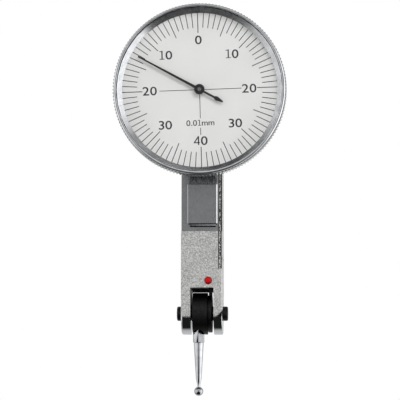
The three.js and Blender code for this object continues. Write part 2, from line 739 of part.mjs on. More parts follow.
// Sector gear on its hub
const sectorRightX = sectorLeftX + sectorThickness;
function makeSectorGear() {
  const sideTeeth = (sectorTeethLeft - 1) / 2;
  const teeth = toothedArc(sectorTeeth, -sideTeeth, sideTeeth, upright);
  const rim = sectorRadius - dedendum - sectorRimWidth;
  const wide = sideTeeth * fullTurn / sectorTeeth;
  const fan = plateX(shifted([[0, 0], ...teeth], 0, sectorZ), sectorLeftX, sectorRightX);
  const tail = plateX([
    [-sectorTailWidth / 2, contactZ - sectorTailWidth / 2],
    [sectorTailWidth / 2, contactZ - sectorTailWidth / 2],
    [sectorTailWidth / 2, sectorZ], [-sectorTailWidth / 2, sectorZ],
  ], sectorLeftX, sectorRightX);
  const hub = turnedX(rodProfile(sectorHubRadius + sectorRimWidth / 2, sectorLeftX, sectorRightX),
    stylusSides, 0, sectorZ);
  const windowFrom = sectorHubRadius + sectorRimWidth;
  const windowHalf = wide / 2;
  const window = plateX(shifted([
    ...arc(0, 0, rim, upright - windowHalf, upright + windowHalf, 4),
    ...arc(0, 0, windowFrom, upright + windowHalf, upright - windowHalf, 4),
  ], 0, sectorZ), sectorLeftX - cutOverrun, sectorRightX + cutOverrun);
  const slotHalf = leverPinRadius + seatGap;
  const pinSlot = block(sectorLeftX - cutOverrun, sectorRightX + cutOverrun, -slotHalf, slotHalf,
    contactZ - sectorTailWidth, contactZ + sectorTailWidth / 2);
  const bore = turnedX(rodProfile(sectorHubRadius + seatGap, sectorLeftX - cutOverrun,
    sectorRightX + cutOverrun), stylusSides, 0, sectorZ);
  return cut(joined(fan, tail, hub), window, pinSlot, bore);
}
piece('sector_gear', makeSectorGear(), brass);
const sectorHubLeftX = (sectorLeftX + sectorRightX - sectorHubLength) / 2;
piece('sector_hub', turnedX(tubeProfile(sectorPinRadius + turnGap, sectorHubRadius,
  sectorHubLeftX, sectorHubLeftX + sectorHubLength), stylusSides, 0, sectorZ), brass);
piece('sector_pin', turnedX(rodProfile(sectorPinRadius, leftX + seatGap, bridgeRightX),
  shaftSides, 0, sectorZ), steel);

// Crown wheel, its hub, arbor and pinion
const crownFaceX = -centrePinionRadius - dedendum;
const crownTipX = -centrePinionRadius + addendum;
function makeCrownGear() {
  const inner = crownRadius - crownToothLength / 2;
  const outer = crownRadius + crownToothLength / 2;
  const disc = turnedX(tubeProfile(crownHubRadius + seatGap, outer,
    crownFaceX - crownThickness, crownFaceX), drumSides, 0, dialHeight);
  const pitch = fullTurn * crownRadius / crownTeeth;
  const rootHalf = pitch * toothThicknessShares.root / 2;
  const tipHalf = pitch * toothThicknessShares.tip / 2;
  const teeth = [];
  for (let tooth = 0; tooth < crownTeeth; tooth += 1) {
    const shape = new THREE.Shape([
      new THREE.Vector2(crownFaceX - seatGap, -rootHalf), new THREE.Vector2(crownTipX, -tipHalf),
      new THREE.Vector2(crownTipX, tipHalf), new THREE.Vector2(crownFaceX - seatGap, rootHalf),
    ]);
    const depth = crownToothLength - 2 * seatGap;
    const geometry = new THREE.ExtrudeGeometry(shape, { depth, bevelEnabled: false });
    geometry.translate(0, 0, inner + seatGap).rotateX(upright);
    geometry.rotateX(tooth * fullTurn / crownTeeth).translate(0, 0, dialHeight);
    teeth.push(solid(geometry));
  }
  return joined(disc, ...teeth);
}
piece('crown_gear', makeCrownGear(), brass);
piece('crown_hub', turnedX(tubeProfile(arborRadius + seatGap, crownHubRadius,
  crownFaceX - crownHubLength, crownFaceX), stylusSides, 0, dialHeight), brass);
piece('crown_arbor', turnedX(rodProfile(arborRadius, leftX + seatGap, bridgeRightX),
  shaftSides, 0, dialHeight), steel);

// A pinion bored for its arbor, its first gap towards `gap`
function pinionOutline(teeth, gap) {
  return toothedArc(teeth, 0, teeth - 1, gap + Math.PI / teeth);
}
const crownPinionX = (sectorLeftX + sectorRightX) / 2;
piece('crown_pinion', cut(
  plateX(shifted(pinionOutline(crownPinionTeeth, -upright), 0, dialHeight),
    crownPinionX - crownPinionLength / 2, crownPinionX + crownPinionLength / 2),
  turnedX(rodProfile(arborRadius + seatGap, crownPinionX - crownPinionLength,
    crownPinionX + crownPinionLength), shaftSides, 0, dialHeight)), steel);

// Bushes for the crown arbor
const bushBore = arborRadius + turnGap;
piece('crown_bush_left', turnedX(tubeProfile(bushBore, bushRadius, leftX + seatGap, pocketLeftX),
  shaftSides, 0, dialHeight), bronze);
piece('crown_bush_right', turnedX(tubeProfile(bushBore, bushRadius, bridgeLeftX, bridgeRightX),
  shaftSides, 0, dialHeight), bronze);

// Train bridge over the sector and the crown wheel
function makeTrainBridge() {
  const earRadius = bridgePostRadius + pocketTopRoom;
  const outline = [
    ...arc(bridgeHalfSpread, bridgePostZ, earRadius, -upright / 2, upright, 5),
    ...arc(-bridgeHalfSpread, bridgePostZ, earRadius, upright, Math.PI + upright / 2, 5),
    ...arc(0, sectorZ, bridgeHalfWidth, Math.PI, fullTurn, 8),
  ];
  const holes = [
    turnedX(rodProfile(bushRadius + seatGap, 0, rightX), shaftSides, 0, dialHeight),
    turnedX(rodProfile(sectorPinRadius + seatGap, 0, rightX), shaftSides, 0, sectorZ),
    ...bridgeScrewPlaces.map(([y, z]) => turnedX(
      rodProfile(smallScrewRadius + seatGap, 0, rightX), shaftSides, y, z)),
  ];
  const plate = plateX(outline, bridgeLeftX, bridgeRightX);
  const sinks = bridgeScrewPlaces.map(([y, z]) => turnedX(rodProfile(
    smallScrewHeadRadius + seatGap, bridgeRightX - smallScrewHeadHeight, rightX),
  shaftSides, y, z));
  return cut(plate, ...holes, ...sinks);
}
piece('train_bridge', makeTrainBridge(), brass);
bridgeScrewPlaces.forEach(([y, z], i) => {
  const headFrom = bridgeRightX - smallScrewHeadHeight + seatGap;
  const body = turnedX(slottedHead(smallScrewHeadRadius, headFrom,
    headFrom + smallScrewHeadHeight, smallScrewRadius, bridgeRightX - smallScrewLength),
  shaftSides, y, z);
  piece(`train_bridge_screw_${i + 1}`, body, steel);
});

// Dial case: a round pan screwed to the body's front face
const caseBackY = frontY - seatGap;
const caseFloorY = caseBackY - caseBase;
const caseRimY = dialY + caseRimBehindDial;
const cockBackY = dialY + cockBehindDial;
const cockFrontY = cockBackY - cockThickness;
const cockPillarPlaces = [dialHeight - cockPillarPlace, dialHeight + cockPillarPlace];
const springGrooveY = (caseRimY + dialY + knurlBackBehindDial) / 2;
function makeDialCase() {
  const inner = caseRadius - caseWall;
  const pan = turnedY([
    [caseCentreHole, caseBackY], [caseRadius - caseWall, caseBackY],
    [caseRadius, caseBackY - caseWall], [caseRadius, springGrooveY + springWire],
    [caseRadius - springWire, springGrooveY + springWire],
    [caseRadius - springWire, springGrooveY - springWire],
    [caseRadius, springGrooveY - springWire], [caseRadius, caseRimY],
    [inner, caseRimY], [inner, caseFloorY], [caseCentreHole, caseFloorY],
  ], ringSides, 0, dialHeight);
  const pillars = cockPillarPlaces.map((z) => turnedY(
    rodProfile(cockPillarRadius, cockBackY + seatGap, caseFloorY + seatGap), shaftSides, 0, z));
  const holes = [
    ...caseScrewPlaces.map(([x, z]) => turnedY(rodProfile(smallScrewRadius + seatGap,
      caseFloorY - cutOverrun, caseBackY + cutOverrun), shaftSides, x, z)),
    ...cockPillarPlaces.map((z) => turnedY(rodProfile(smallScrewRadius + seatGap,
      cockBackY - cutOverrun, cockFrontY + smallScrewLength + 2 * seatGap), shaftSides, 0, z)),
    turnedY(rodProfile(studRadius + seatGap, caseFloorY - cutOverrun, caseBackY + cutOverrun),
      shaftSides, studX, dialHeight),
  ];
  return cut(joined(pan, ...pillars), ...holes);
}
const collarBackY = caseFloorY - seatGap * 8;
const collarFrontY = collarBackY - collarLength;
const hairspringY = (collarBackY + collarFrontY) / 2;
const hairspringInner = collarRadius + turnGap + hairspringStrip;
const hairspringOuter = hairspringInner + hairspringTurns * hairspringPitch;
const studX = hairspringOuter + hairspringStrip / 2 + studRadius + seatGap;
piece('dial_case', makeDialCase(), satinChrome);
caseScrewPlaces.forEach(([x, z], i) => {
  const headBack = caseFloorY - seatGap;
  const profile = [
    [0, pocketFrontY - seatGap], [smallScrewRadius, pocketFrontY - seatGap],
    [smallScrewRadius, headBack], [smallScrewHeadRadius, headBack],
    [smallScrewHeadRadius, headBack - smallScrewHeadHeight], [0, headBack - smallScrewHeadHeight],
  ];
  piece(`dial_case_screw_${i + 1}`, turnedY(profile, shaftSides, x, z), steel);
});

// Bearing cock in front of the hairspring, its screws and the two arbor bushes
function makeBearingCock() {
  const outline = shifted([
    ...arc(0, cockHalfLength - cockHalfWidth, cockHalfWidth, 0, Math.PI, 8),
    ...arc(0, cockHalfWidth - cockHalfLength, cockHalfWidth, Math.PI, fullTurn, 8),
  ], 0, dialHeight);
  const holes = [
    turnedY(rodProfile(bushRadius + seatGap, dialY, 0), shaftSides, 0, dialHeight),
    ...cockPillarPlaces.map((z) => turnedY(rodProfile(smallScrewRadius + seatGap, dialY, 0),
      shaftSides, 0, z)),
  ];
  return cut(plateY(outline, cockFrontY, cockBackY), ...holes);
}
piece('bearing_cock', makeBearingCock(), brass);
cockPillarPlaces.forEach((z, i) => {
  const headBack = cockFrontY - seatGap;
  const profile = [
    [0, cockFrontY + smallScrewLength], [smallScrewRadius, cockFrontY + smallScrewLength],
    [smallScrewRadius, headBack], [smallScrewHeadRadius, headBack],
    [smallScrewHeadRadius, headBack - smallScrewHeadHeight], [0, headBack - smallScrewHeadHeight],
  ];
  piece(`bearing_cock_screw_${i + 1}`, turnedY(profile, shaftSides, 0, z), steel);
});
piece('front_arbor_bush', turnedY([
  [bushBore, cockFrontY - bushFlange], [bushRadius, cockFrontY - bushFlange],
  [bushRadius, cockBackY], [bushBore, cockBackY],
], shaftSides, 0, dialHeight), bronze);
piece('rear_arbor_bush', turnedY([
  [bushBore, caseFloorY - seatGap], [caseCentreHole - seatGap, caseFloorY - seatGap],
  [caseCentreHole - seatGap, pocketFrontY], [bushBore, pocketFrontY],
], shaftSides, 0, dialHeight), bronze);

// Centre arbor with its pinion in mesh with the crown wheel
const centrePinionY = -crownRadius;
const centrePinionLength = 2 * (centrePinionY - pocketFrontY) - 4 * seatGap;
const handBackY = dialY - handPlaneForward;
const handFrontY = handBackY - handThickness;
const hubFrontY = handFrontY - hubHeight / 2;
const hubBackY = hubFrontY + hubHeight;
piece('pointer_arbor', turnedY(rodProfile(arborRadius, hubFrontY,
  centrePinionY + centrePinionLength / 2), shaftSides, 0, dialHeight), steel);
piece('centre_pinion', cut(
  plateY(shifted(pinionOutline(centrePinionTeeth, Math.PI), 0, dialHeight),
    centrePinionY - centrePinionLength / 2, centrePinionY + centrePinionLength / 2),
  turnedY(rodProfile(arborRadius + seatGap, centrePinionY - centrePinionLength,
    centrePinionY + centrePinionLength), shaftSides, 0, dialHeight)), steel);

// Hairspring: one flat strip wound round its collet and pinned to a stud in the case
piece('hairspring_collet', turnedY(tubeProfile(arborRadius + seatGap, collarRadius,
  collarFrontY, collarBackY), shaftSides, 0, dialHeight), brass);
function makeHairspring() {
  const steps = hairspringTurns * hairspringSteps;
  const outline = [];
  const edge = (i, offset) => {
    const angle = fullTurn * i / hairspringSteps;
    const radius = hairspringInner + hairspringPitch * i / hairspringSteps + offset;
    return [radius * Math.cos(angle), radius * Math.sin(angle)];
  };
  for (let i = 0; i <= steps; i += 1) outline.push(edge(i, hairspringStrip / 2));
  for (let i = steps; i >= 0; i -= 1) outline.push(edge(i, -hairspringStrip / 2));
  return plateY(shifted(outline, 0, dialHeight), hairspringY - hairspringHeight / 2,
    hairspringY + hairspringHeight / 2);
}
piece('hairspring', makeHairspring(), springSteel);
piece('hairspring_stud', turnedY(rodProfile(studRadius, collarFrontY, caseBackY), shaftSides,
  studX, dialHeight), brass);

// Hand, with a leaf shaped counterweight, and its hub
function makeHand() {
  const leaf = handTail - tailLeafLength;
  const outline = [
    [handTipWidth / 2, handLength], [-handTipWidth / 2, handLength],
    [-handRootWidth / 2, hubRadius], [-tailRodWidth / 2, -hubRadius], [-tailRodWidth / 2, -leaf],
    [-tailLeafWidth / 2, -leaf - tailLeafLength / 4], [-tailTipWidth / 2, -handTail],
    [tailTipWidth / 2, -handTail], [tailLeafWidth / 2, -leaf - tailLeafLength / 4],
    [tailRodWidth / 2, -leaf], [tailRodWidth / 2, -hubRadius], [handRootWidth / 2, hubRadius],
  ];
  const turned = outline.map(([u, v]) => [
    u * Math.cos(handAngle) - v * Math.sin(handAngle),
    u * Math.sin(handAngle) + v * Math.cos(handAngle),
  ]);
  const blade = plateY(shifted(turned, 0, dialHeight), handFrontY, handBackY);
  const eye = turnedY(rodProfile(hubRadius, handFrontY, handBackY), shaftSides, 0, dialHeight);
  const bore = turnedY(rodProfile(collarRadius + seatGap, handFrontY - cutOverrun,
    handBackY + cutOverrun), shaftSides, 0, dialHeight);
  return cut(joined(blade, eye), bore);
}
piece('pointer_hand', makeHand(), handBlack);
piece('pointer_hub', turnedY([
  [arborRadius + seatGap, hubFrontY], [hubRadius, hubFrontY],
  [hubRadius, handFrontY - seatGap], [collarRadius, handFrontY - seatGap],
  [collarRadius, hubBackY], [arborRadius + seatGap, hubBackY],
], shaftSides, 0, dialHeight), handBlack);

// Bezel: knurled ring, front lip and the bright slope round the dial
const knurlBackY = dialY + knurlBackBehindDial;
const knurlFrontY = lipY + bezelFrontBand;
const crystalFrontY = lipY + crystalBehindLip;
const crystalBackY = crystalFrontY + crystalThickness;
const gasketBackY = crystalBackY + seatGap + gasketHeight;
function makeBezel() {
  const groove = bezelRadius - knurlDepth;
  const ring = turnedY([
    [bezelBore, knurlBackY], [groove, knurlBackY], [groove, knurlFrontY],
    [lipOuterRadius, lipY + seatGap], [lipInnerRadius + seatGap, lipY],
    [lipInnerRadius, lipY + seatGap], [lipInnerRadius, crystalFrontY - seatGap],
    [crystalRadius + seatGap, crystalFrontY - seatGap],
    [crystalRadius + seatGap, gasketBackY + seatGap],
    [crystalRadius - gasketWidth, gasketBackY + seatGap],
    [windowRadius, dialY - seatGap], [bezelBore, dialY - seatGap],
  ], fineSides, 0, dialHeight);
  const outline = [];
  const pitch = fullTurn / knurlTeeth;
  for (let tooth = 0; tooth < knurlTeeth; tooth += 1) {
    const middle = tooth * pitch;
    const root = pitch / 2;
    outline.push([bezelRadius * Math.cos(middle), bezelRadius * Math.sin(middle)]);
    outline.push([groove * Math.cos(middle + root), groove * Math.sin(middle + root)]);
  }
  const knurl = plateY(shifted(outline, 0, dialHeight), knurlFrontY, knurlBackY - bezelBackRim);
  const middle = turnedY(rodProfile((crystalRadius + seatGap + groove) / 2, knurlFrontY - cutOverrun,
    knurlBackY + cutOverrun), fineSides, 0, dialHeight);
  return joined(ring, cut(knurl, middle));
}
piece('bezel', makeBezel(), polishedChrome);
piece('crystal', turnedY(rodProfile(crystalRadius, crystalFrontY, crystalBackY), ringSides,
  0, dialHeight), clearGlass);
piece('crystal_gasket', turnedY(tubeProfile(crystalRadius - gasketWidth, crystalRadius,
  crystalBackY + seatGap, gasketBackY), ringSides, 0, dialHeight), blackRubber);
const dialPlateBackY = dialY + dialPlateThickness;
piece('dial_plate', turnedY(tubeProfile(dialPlateHole, bezelBore - seatGap, dialY,
  dialPlateBackY), ringSides, 0, dialHeight), paperWhite);
piece('dial_retaining_ring', turnedY(tubeProfile(bezelBore - retainingRingWidth,
  bezelBore - seatGap, dialPlateBackY + seatGap,
  dialPlateBackY + seatGap + retainingRingThickness), ringSides, 0, dialHeight), springSteel);
piece('bezel_spring_ring', turnedY(tubeProfile(caseRadius - springWire + seatGap, caseRadius,
  springGrooveY - springWire / 2, springGrooveY + springWire / 2), ringSides, 0, dialHeight),
springSteel);

// Origin at the centre of the front dovetail's face
const dovetailCentreZ = (dovetailBottomZ + dovetailTopZ) / 2;
indicator.position.set(-dovetailOffsetX, -dovetailFaceY, -dovetailCentreZ);

export default indicator;
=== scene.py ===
"""A lever dial test indicator: knurled dial head, slim chromed body, ball stylus in a fork."""

import json
import math

import bmesh
import bpy
from mathutils import Matrix, Vector


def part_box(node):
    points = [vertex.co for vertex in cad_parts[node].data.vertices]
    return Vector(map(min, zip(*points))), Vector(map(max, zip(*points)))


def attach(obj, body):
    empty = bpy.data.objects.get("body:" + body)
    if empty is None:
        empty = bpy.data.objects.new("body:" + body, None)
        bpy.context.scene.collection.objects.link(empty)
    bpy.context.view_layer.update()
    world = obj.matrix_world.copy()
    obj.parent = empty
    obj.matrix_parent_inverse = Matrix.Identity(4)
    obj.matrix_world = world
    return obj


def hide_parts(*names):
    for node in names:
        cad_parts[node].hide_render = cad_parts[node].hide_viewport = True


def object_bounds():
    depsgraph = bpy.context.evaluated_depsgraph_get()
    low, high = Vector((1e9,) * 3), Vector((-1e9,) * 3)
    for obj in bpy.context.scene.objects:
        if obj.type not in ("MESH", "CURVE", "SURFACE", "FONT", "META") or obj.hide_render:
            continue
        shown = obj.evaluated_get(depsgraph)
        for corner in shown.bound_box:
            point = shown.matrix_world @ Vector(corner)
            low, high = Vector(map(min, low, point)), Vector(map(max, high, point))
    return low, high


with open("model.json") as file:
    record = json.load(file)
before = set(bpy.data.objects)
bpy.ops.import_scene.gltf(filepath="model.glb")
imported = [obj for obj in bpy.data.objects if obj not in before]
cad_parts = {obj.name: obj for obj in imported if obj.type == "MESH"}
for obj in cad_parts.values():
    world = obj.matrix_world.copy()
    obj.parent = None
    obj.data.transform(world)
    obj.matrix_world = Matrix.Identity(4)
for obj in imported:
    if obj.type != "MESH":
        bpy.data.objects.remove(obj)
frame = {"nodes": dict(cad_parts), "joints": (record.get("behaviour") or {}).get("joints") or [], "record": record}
cad_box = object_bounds()

# Camera and setting: the photograph's view, a little from the right and from below. The camera
# sees plain white. The metal mirrors bright panels at both sides, a grey one straight ahead and
# dark ones above and below, and a pale floor lies well under the stylus.
MM = 0.001
joint_place = {joint["name"]: Vector(joint["pos_m"]) for joint in frame["joints"]}
PIVOT = joint_place["lever_swing"]
DIAL = joint_place["bezel_turn"]
CAMERA_FROM_PIVOT = Vector((20.31, -339.79, -3.83)) * MM
CAMERA_TURN_DEG = (94.98, 0.0, 3.52)
CAMERA_REACH = 10.0
FOCAL_LENGTH_MM = 135.0
SENSOR_MM = 36.0
FLOOR_BELOW_STYLUS = 25 * MM
FLOOR_RADIUS = 420 * MM
FLOOR_SIDES = 96
FLOOR_PALE = "#c9c9c8"
WHITE = "#ffffff"
ROOM_LIGHT = 0.4
ROOM_PATCHES = [
    {"towards": (0, 1, 0.1), "full_deg": 62, "none_deg": 85, "light": 0.7},
    {"towards": (0, -1, 0.1), "full_deg": 40, "none_deg": 62, "light": 1.12},
    {"towards": (0, 0, 1), "full_deg": 10, "none_deg": 45, "light": 0.08},
    {"towards": (0, 1, -1), "full_deg": 12, "none_deg": 46, "light": 0.9},
    {"towards": (-1, -0.3, 0), "full_deg": 20, "none_deg": 46, "light": 1.35},
    {"towards": (1, -0.2, 0), "full_deg": 20, "none_deg": 47, "light": 2.15},
    {"towards": (0.75, -0.14, -0.7), "full_deg": 14, "none_deg": 32, "light": 1.9},
    {"towards": (0, -1, -1.2), "full_deg": 34, "none_deg": 48, "light": 0.02},
    {"towards": (-0.06, -1, 0.12), "full_deg": 9, "none_deg": 22, "light": 0.27},
]
KEY_LIGHT = {"place": (260, -420, 420), "size": 240, "watts": 1.6}
SHARP_DEG = 32


def colour(code):
    """An sRGB hex code as linear red, green, blue and alpha."""
    parts = [int(code[i:i + 2], 16) / 255 for i in (1, 3, 5)]
    return [c / 12.92 if c <= 0.04045 else ((c + 0.055) / 1.055) ** 2.4 for c in parts] + [1.0]


def add(tree, kind, links=None, **settings):
    """A new node: settings are its own values, links fill its inputs.

    A link is a value, an output, or a node, which stands for its first output in use.
    """
    node = tree.nodes.new(kind)
    for name, value in settings.items():
        setattr(node, name, value)
    for name, value in (links or {}).items():
        if isinstance(value, bpy.types.Node):
            value = next(output for output in value.outputs if output.enabled)
        if isinstance(value, bpy.types.NodeSocket):
            tree.links.new(value, node.inputs[name])
        else:
            node.inputs[name].default_value = value
    return node


def new_material(name):
    """An empty node material and its tree."""
    material = bpy.data.materials.new(name)
    material.use_nodes = True
    material.node_tree.nodes.clear()
    return material, material.node_tree


def from_bmesh(name, bm, material):
    """Makes an object of a finished bmesh, smooth but for its sharp edges."""
    mesh = bpy.data.meshes.new(name)
    bm.to_mesh(mesh)
    bm.free()
    mesh.shade_smooth()
    mesh.set_sharp_from_angle(angle=math.radians(SHARP_DEG))
    mesh.materials.append(material)
    piece = bpy.data.objects.new(name, mesh)
    bpy.context.scene.collection.objects.link(piece)
    return piece


scene = bpy.context.scene
scene.view_settings.view_transform = "Standard"
camera_data = bpy.data.cameras.new("camera")
camera_data.sensor_width = SENSOR_MM
camera_data.lens = FOCAL_LENGTH_MM
camera_data.clip_end = CAMERA_REACH
camera = bpy.data.objects.new("camera", camera_data)
camera.location = PIVOT + CAMERA_FROM_PIVOT
camera.rotation_euler = [math.radians(turn) for turn in CAMERA_TURN_DEG]
scene.collection.objects.link(camera)
scene.camera = camera

# Floor paint: matt, so that it throws soft light up and mirrors nothing.
floor_paint, tree = new_material("pale_floor")
shader = add(tree, "ShaderNodeBsdfPrincipled", {
    "Base Color": colour(FLOOR_PALE), "Roughness": 0.9})
add(tree, "ShaderNodeOutputMaterial", {"Surface": shader})
floor_mesh = bmesh.new()
bmesh.ops.create_circle(floor_mesh, cap_ends=True, segments=FLOOR_SIDES, radius=FLOOR_RADIUS)
bmesh.ops.translate(floor_mesh, verts=floor_mesh.verts,
                    vec=(0, 0, cad_box[0][2] - FLOOR_BELOW_STYLUS))
floor = from_bmesh("floor", floor_mesh, floor_paint)
floor.visible_glossy = False

key_data = bpy.data.lights.new("key_light", "AREA")
key_data.shape = "DISK"
key_data.size = KEY_LIGHT["size"] * MM
key_data.energy = KEY_LIGHT["watts"]
key_light = bpy.data.objects.new("key_light", key_data)
key_light.location = Vector(KEY_LIGHT["place"]) * MM
key_light.rotation_euler = (DIAL - key_light.location).to_track_quat("-Z", "Y").to_euler()
key_light.visible_glossy = False
scene.collection.objects.link(key_light)

# The mirrored room: each patch of light lies over those before it.
world = bpy.data.worlds.new("room")
world.use_nodes = True
scene.world = world
tree = world.node_tree
tree.nodes.clear()
direction = add(tree, "ShaderNodeTexCoord").outputs["Generated"]
brightness = ROOM_LIGHT
for patch in ROOM_PATCHES:
    nearness = add(tree, "ShaderNodeVectorMath", {
        0: direction, 1: Vector(patch["towards"]).normalized()}, operation="DOT_PRODUCT")
    spread = add(tree, "ShaderNodeMapRange", {
        "Value": nearness, "From Min": math.cos(math.radians(patch["none_deg"])),
        "From Max": math.cos(math.radians(patch["full_deg"]))}, interpolation_type="SMOOTHSTEP")
    brightness = add(tree, "ShaderNodeMix", {0: spread, 2: brightness, 3: patch["light"]})
seen = add(tree, "ShaderNodeBackground", {"Color": colour(WHITE), "Strength": 1.0})
room = add(tree, "ShaderNodeBackground", {"Color": colour(WHITE), "Strength": brightness})
ray = add(tree, "ShaderNodeLightPath")
either = add(tree, "ShaderNodeMixShader", {0: ray.outputs["Is Camera Ray"], 1: room, 2: seen})
add(tree, "ShaderNodeOutputWorld", {"Surface": either})

# Housing: the body milled from one piece of steel, with the fork at its foot and the dovetail
# under the dial. Bead blasted and chromed, which leaves a mottled satin; the dovetail, the
# recess round it and the round ends of the fork are ground smooth before the chrome.
HOUSING_EDGE = 0.05 * MM
EDGE_STEPS = 3
ROUNDED_FROM_DEG = 38
FLAT_WITHIN_DEG = 0.5
MERGE = 0.002 * MM
NEAR = 0.05 * MM
SATIN = "#ebebe9"
SATIN_DARK = "#b0b0ae"
GROUND = "#babbbd"
GROUND_DARK = "#b0b2b4"
BLAST_GRAIN_MM = 0.14
BLAST_BLOTCH_MM = 0.32
BLAST_DEPTH = 0.045 * MM
GRAIN_DEPTH_SHARE = 0.25
SATIN_ROUGHNESS = (0.5, 0.64)
EAR_ROUGHNESS = 0.12
EAR_POLISH_BELOW_PIVOT = 0.75 * MM
EAR_POLISH_FADE = 0.25 * MM
EAR_POLISH_RISE = 1.5 * MM
# Painted reflection: the dark painted on the upper part of the ground ears.
EAR_PAINTED_REFLECTION = "#1b1b1c"
RIGHT_EAR_INNER_X = 2.7 * MM
RIGHT_EAR_WIDTH = 1.9 * MM
RAIL_MIDDLE_X = 0.25 * MM
RAIL_HALF_WIDTH = 3.25 * MM
NECK_HALF_WIDTH = 2.9 * MM
# Painted shade: dark lines painted along the corners under the rail and the neck, and along the rail's top.
PAINTED_SHADE_DARK = "#161617"
PAINTED_SHADE_LINE = 0.1 * MM
PAINTED_SHADE_LINES_Z = [(20.08 * MM, RAIL_HALF_WIDTH), (19.56 * MM, NECK_HALF_WIDTH),
               (29.0 * MM, RAIL_HALF_WIDTH)]
# Painted reflection: dark streaks standing for the knurl mirrored in the rail just under the dial.
PAINTED_KNURL_REFLECTION_DARK = "#6c6c6e"
PAINTED_KNURL_REFLECTION_MIDDLE_Z = 30.1 * MM
PAINTED_KNURL_REFLECTION_HALF_HEIGHT = 1.1 * MM
PAINTED_KNURL_REFLECTION_STREAK_MM = 0.22
PAINTED_KNURL_REFLECTION_STRETCH = 0.12
RAIL_RIGHT_EDGE = 3.6 * MM
RAIL_RIGHT_CHAMFER = 0.1 * MM
RAIL_RIGHT_WEAR = 0.12 * MM
RECESS_FROM_PIVOT = 18.4 * MM
RECESS_DEPTH = 1.8 * MM
SLOT_HALF = 2.75 * MM
SLOT_TOP = 4.85 * MM
SLOT_ROOF = 1.2 * MM


def corners(node):
    """The lowest and the highest corner of a CAD node."""
    return [Vector(corner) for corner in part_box(node)]


FRONT_Y = PIVOT.y - (PIVOT.z - corners("housing")[0].z)


def object_point(tree, place=(0, 0, 0), scale=(1, 1, 1)):
    """Object coordinates, measured from a place and stretched by scale."""
    coordinates = add(tree, "ShaderNodeTexCoord").outputs["Object"]
    moved = add(tree, "ShaderNodeVectorMath", {0: coordinates, 1: place}, operation="SUBTRACT")
    return add(tree, "ShaderNodeVectorMath", {0: moved, 1: scale}, operation="MULTIPLY")


def metal(name, light, dark, roughness, grain_mm, blotch_mm, relief=0.15, painted_shade=None):
    """A metal with a surface grain and a slow change of tone, with painted shade added if need be.

    The grain of a real ground or turned face is finer, and is drawn coarser so that it shows.
    """
    material, tree = new_material(name)
    point = object_point(tree)
    # Noise lies mostly between 0.3 and 0.7. Map Range takes the value and then both ranges.
    blotch = add(tree, "ShaderNodeTexNoise", {
        "Vector": point, "Scale": 1 / (blotch_mm * MM), "Detail": 3.0})
    tone = add(tree, "ShaderNodeMapRange", {0: blotch, 1: 0.35, 2: 0.65})
    clean = add(tree, "ShaderNodeMix", {0: tone, 6: colour(dark), 7: colour(light)},
                data_type="RGBA")
    fine = add(tree, "ShaderNodeTexNoise", {"Vector": point, "Scale": 1 / (grain_mm * MM)})
    rough = add(tree, "ShaderNodeMapRange", {
        0: fine, 1: 0.3, 2: 0.7, 3: roughness[0], 4: roughness[1]})
    relief = add(tree, "ShaderNodeBump", {
        "Height": fine, "Strength": relief, "Distance": grain_mm * GRAIN_DEPTH_SHARE * MM})
    shader = add(tree, "ShaderNodeBsdfPrincipled", {
        "Base Color": painted_shade(tree, clean) if painted_shade else clean, "Metallic": 1.0,
        "Roughness": rough, "Normal": relief})
    add(tree, "ShaderNodeOutputMaterial", {"Surface": shader})
    return material


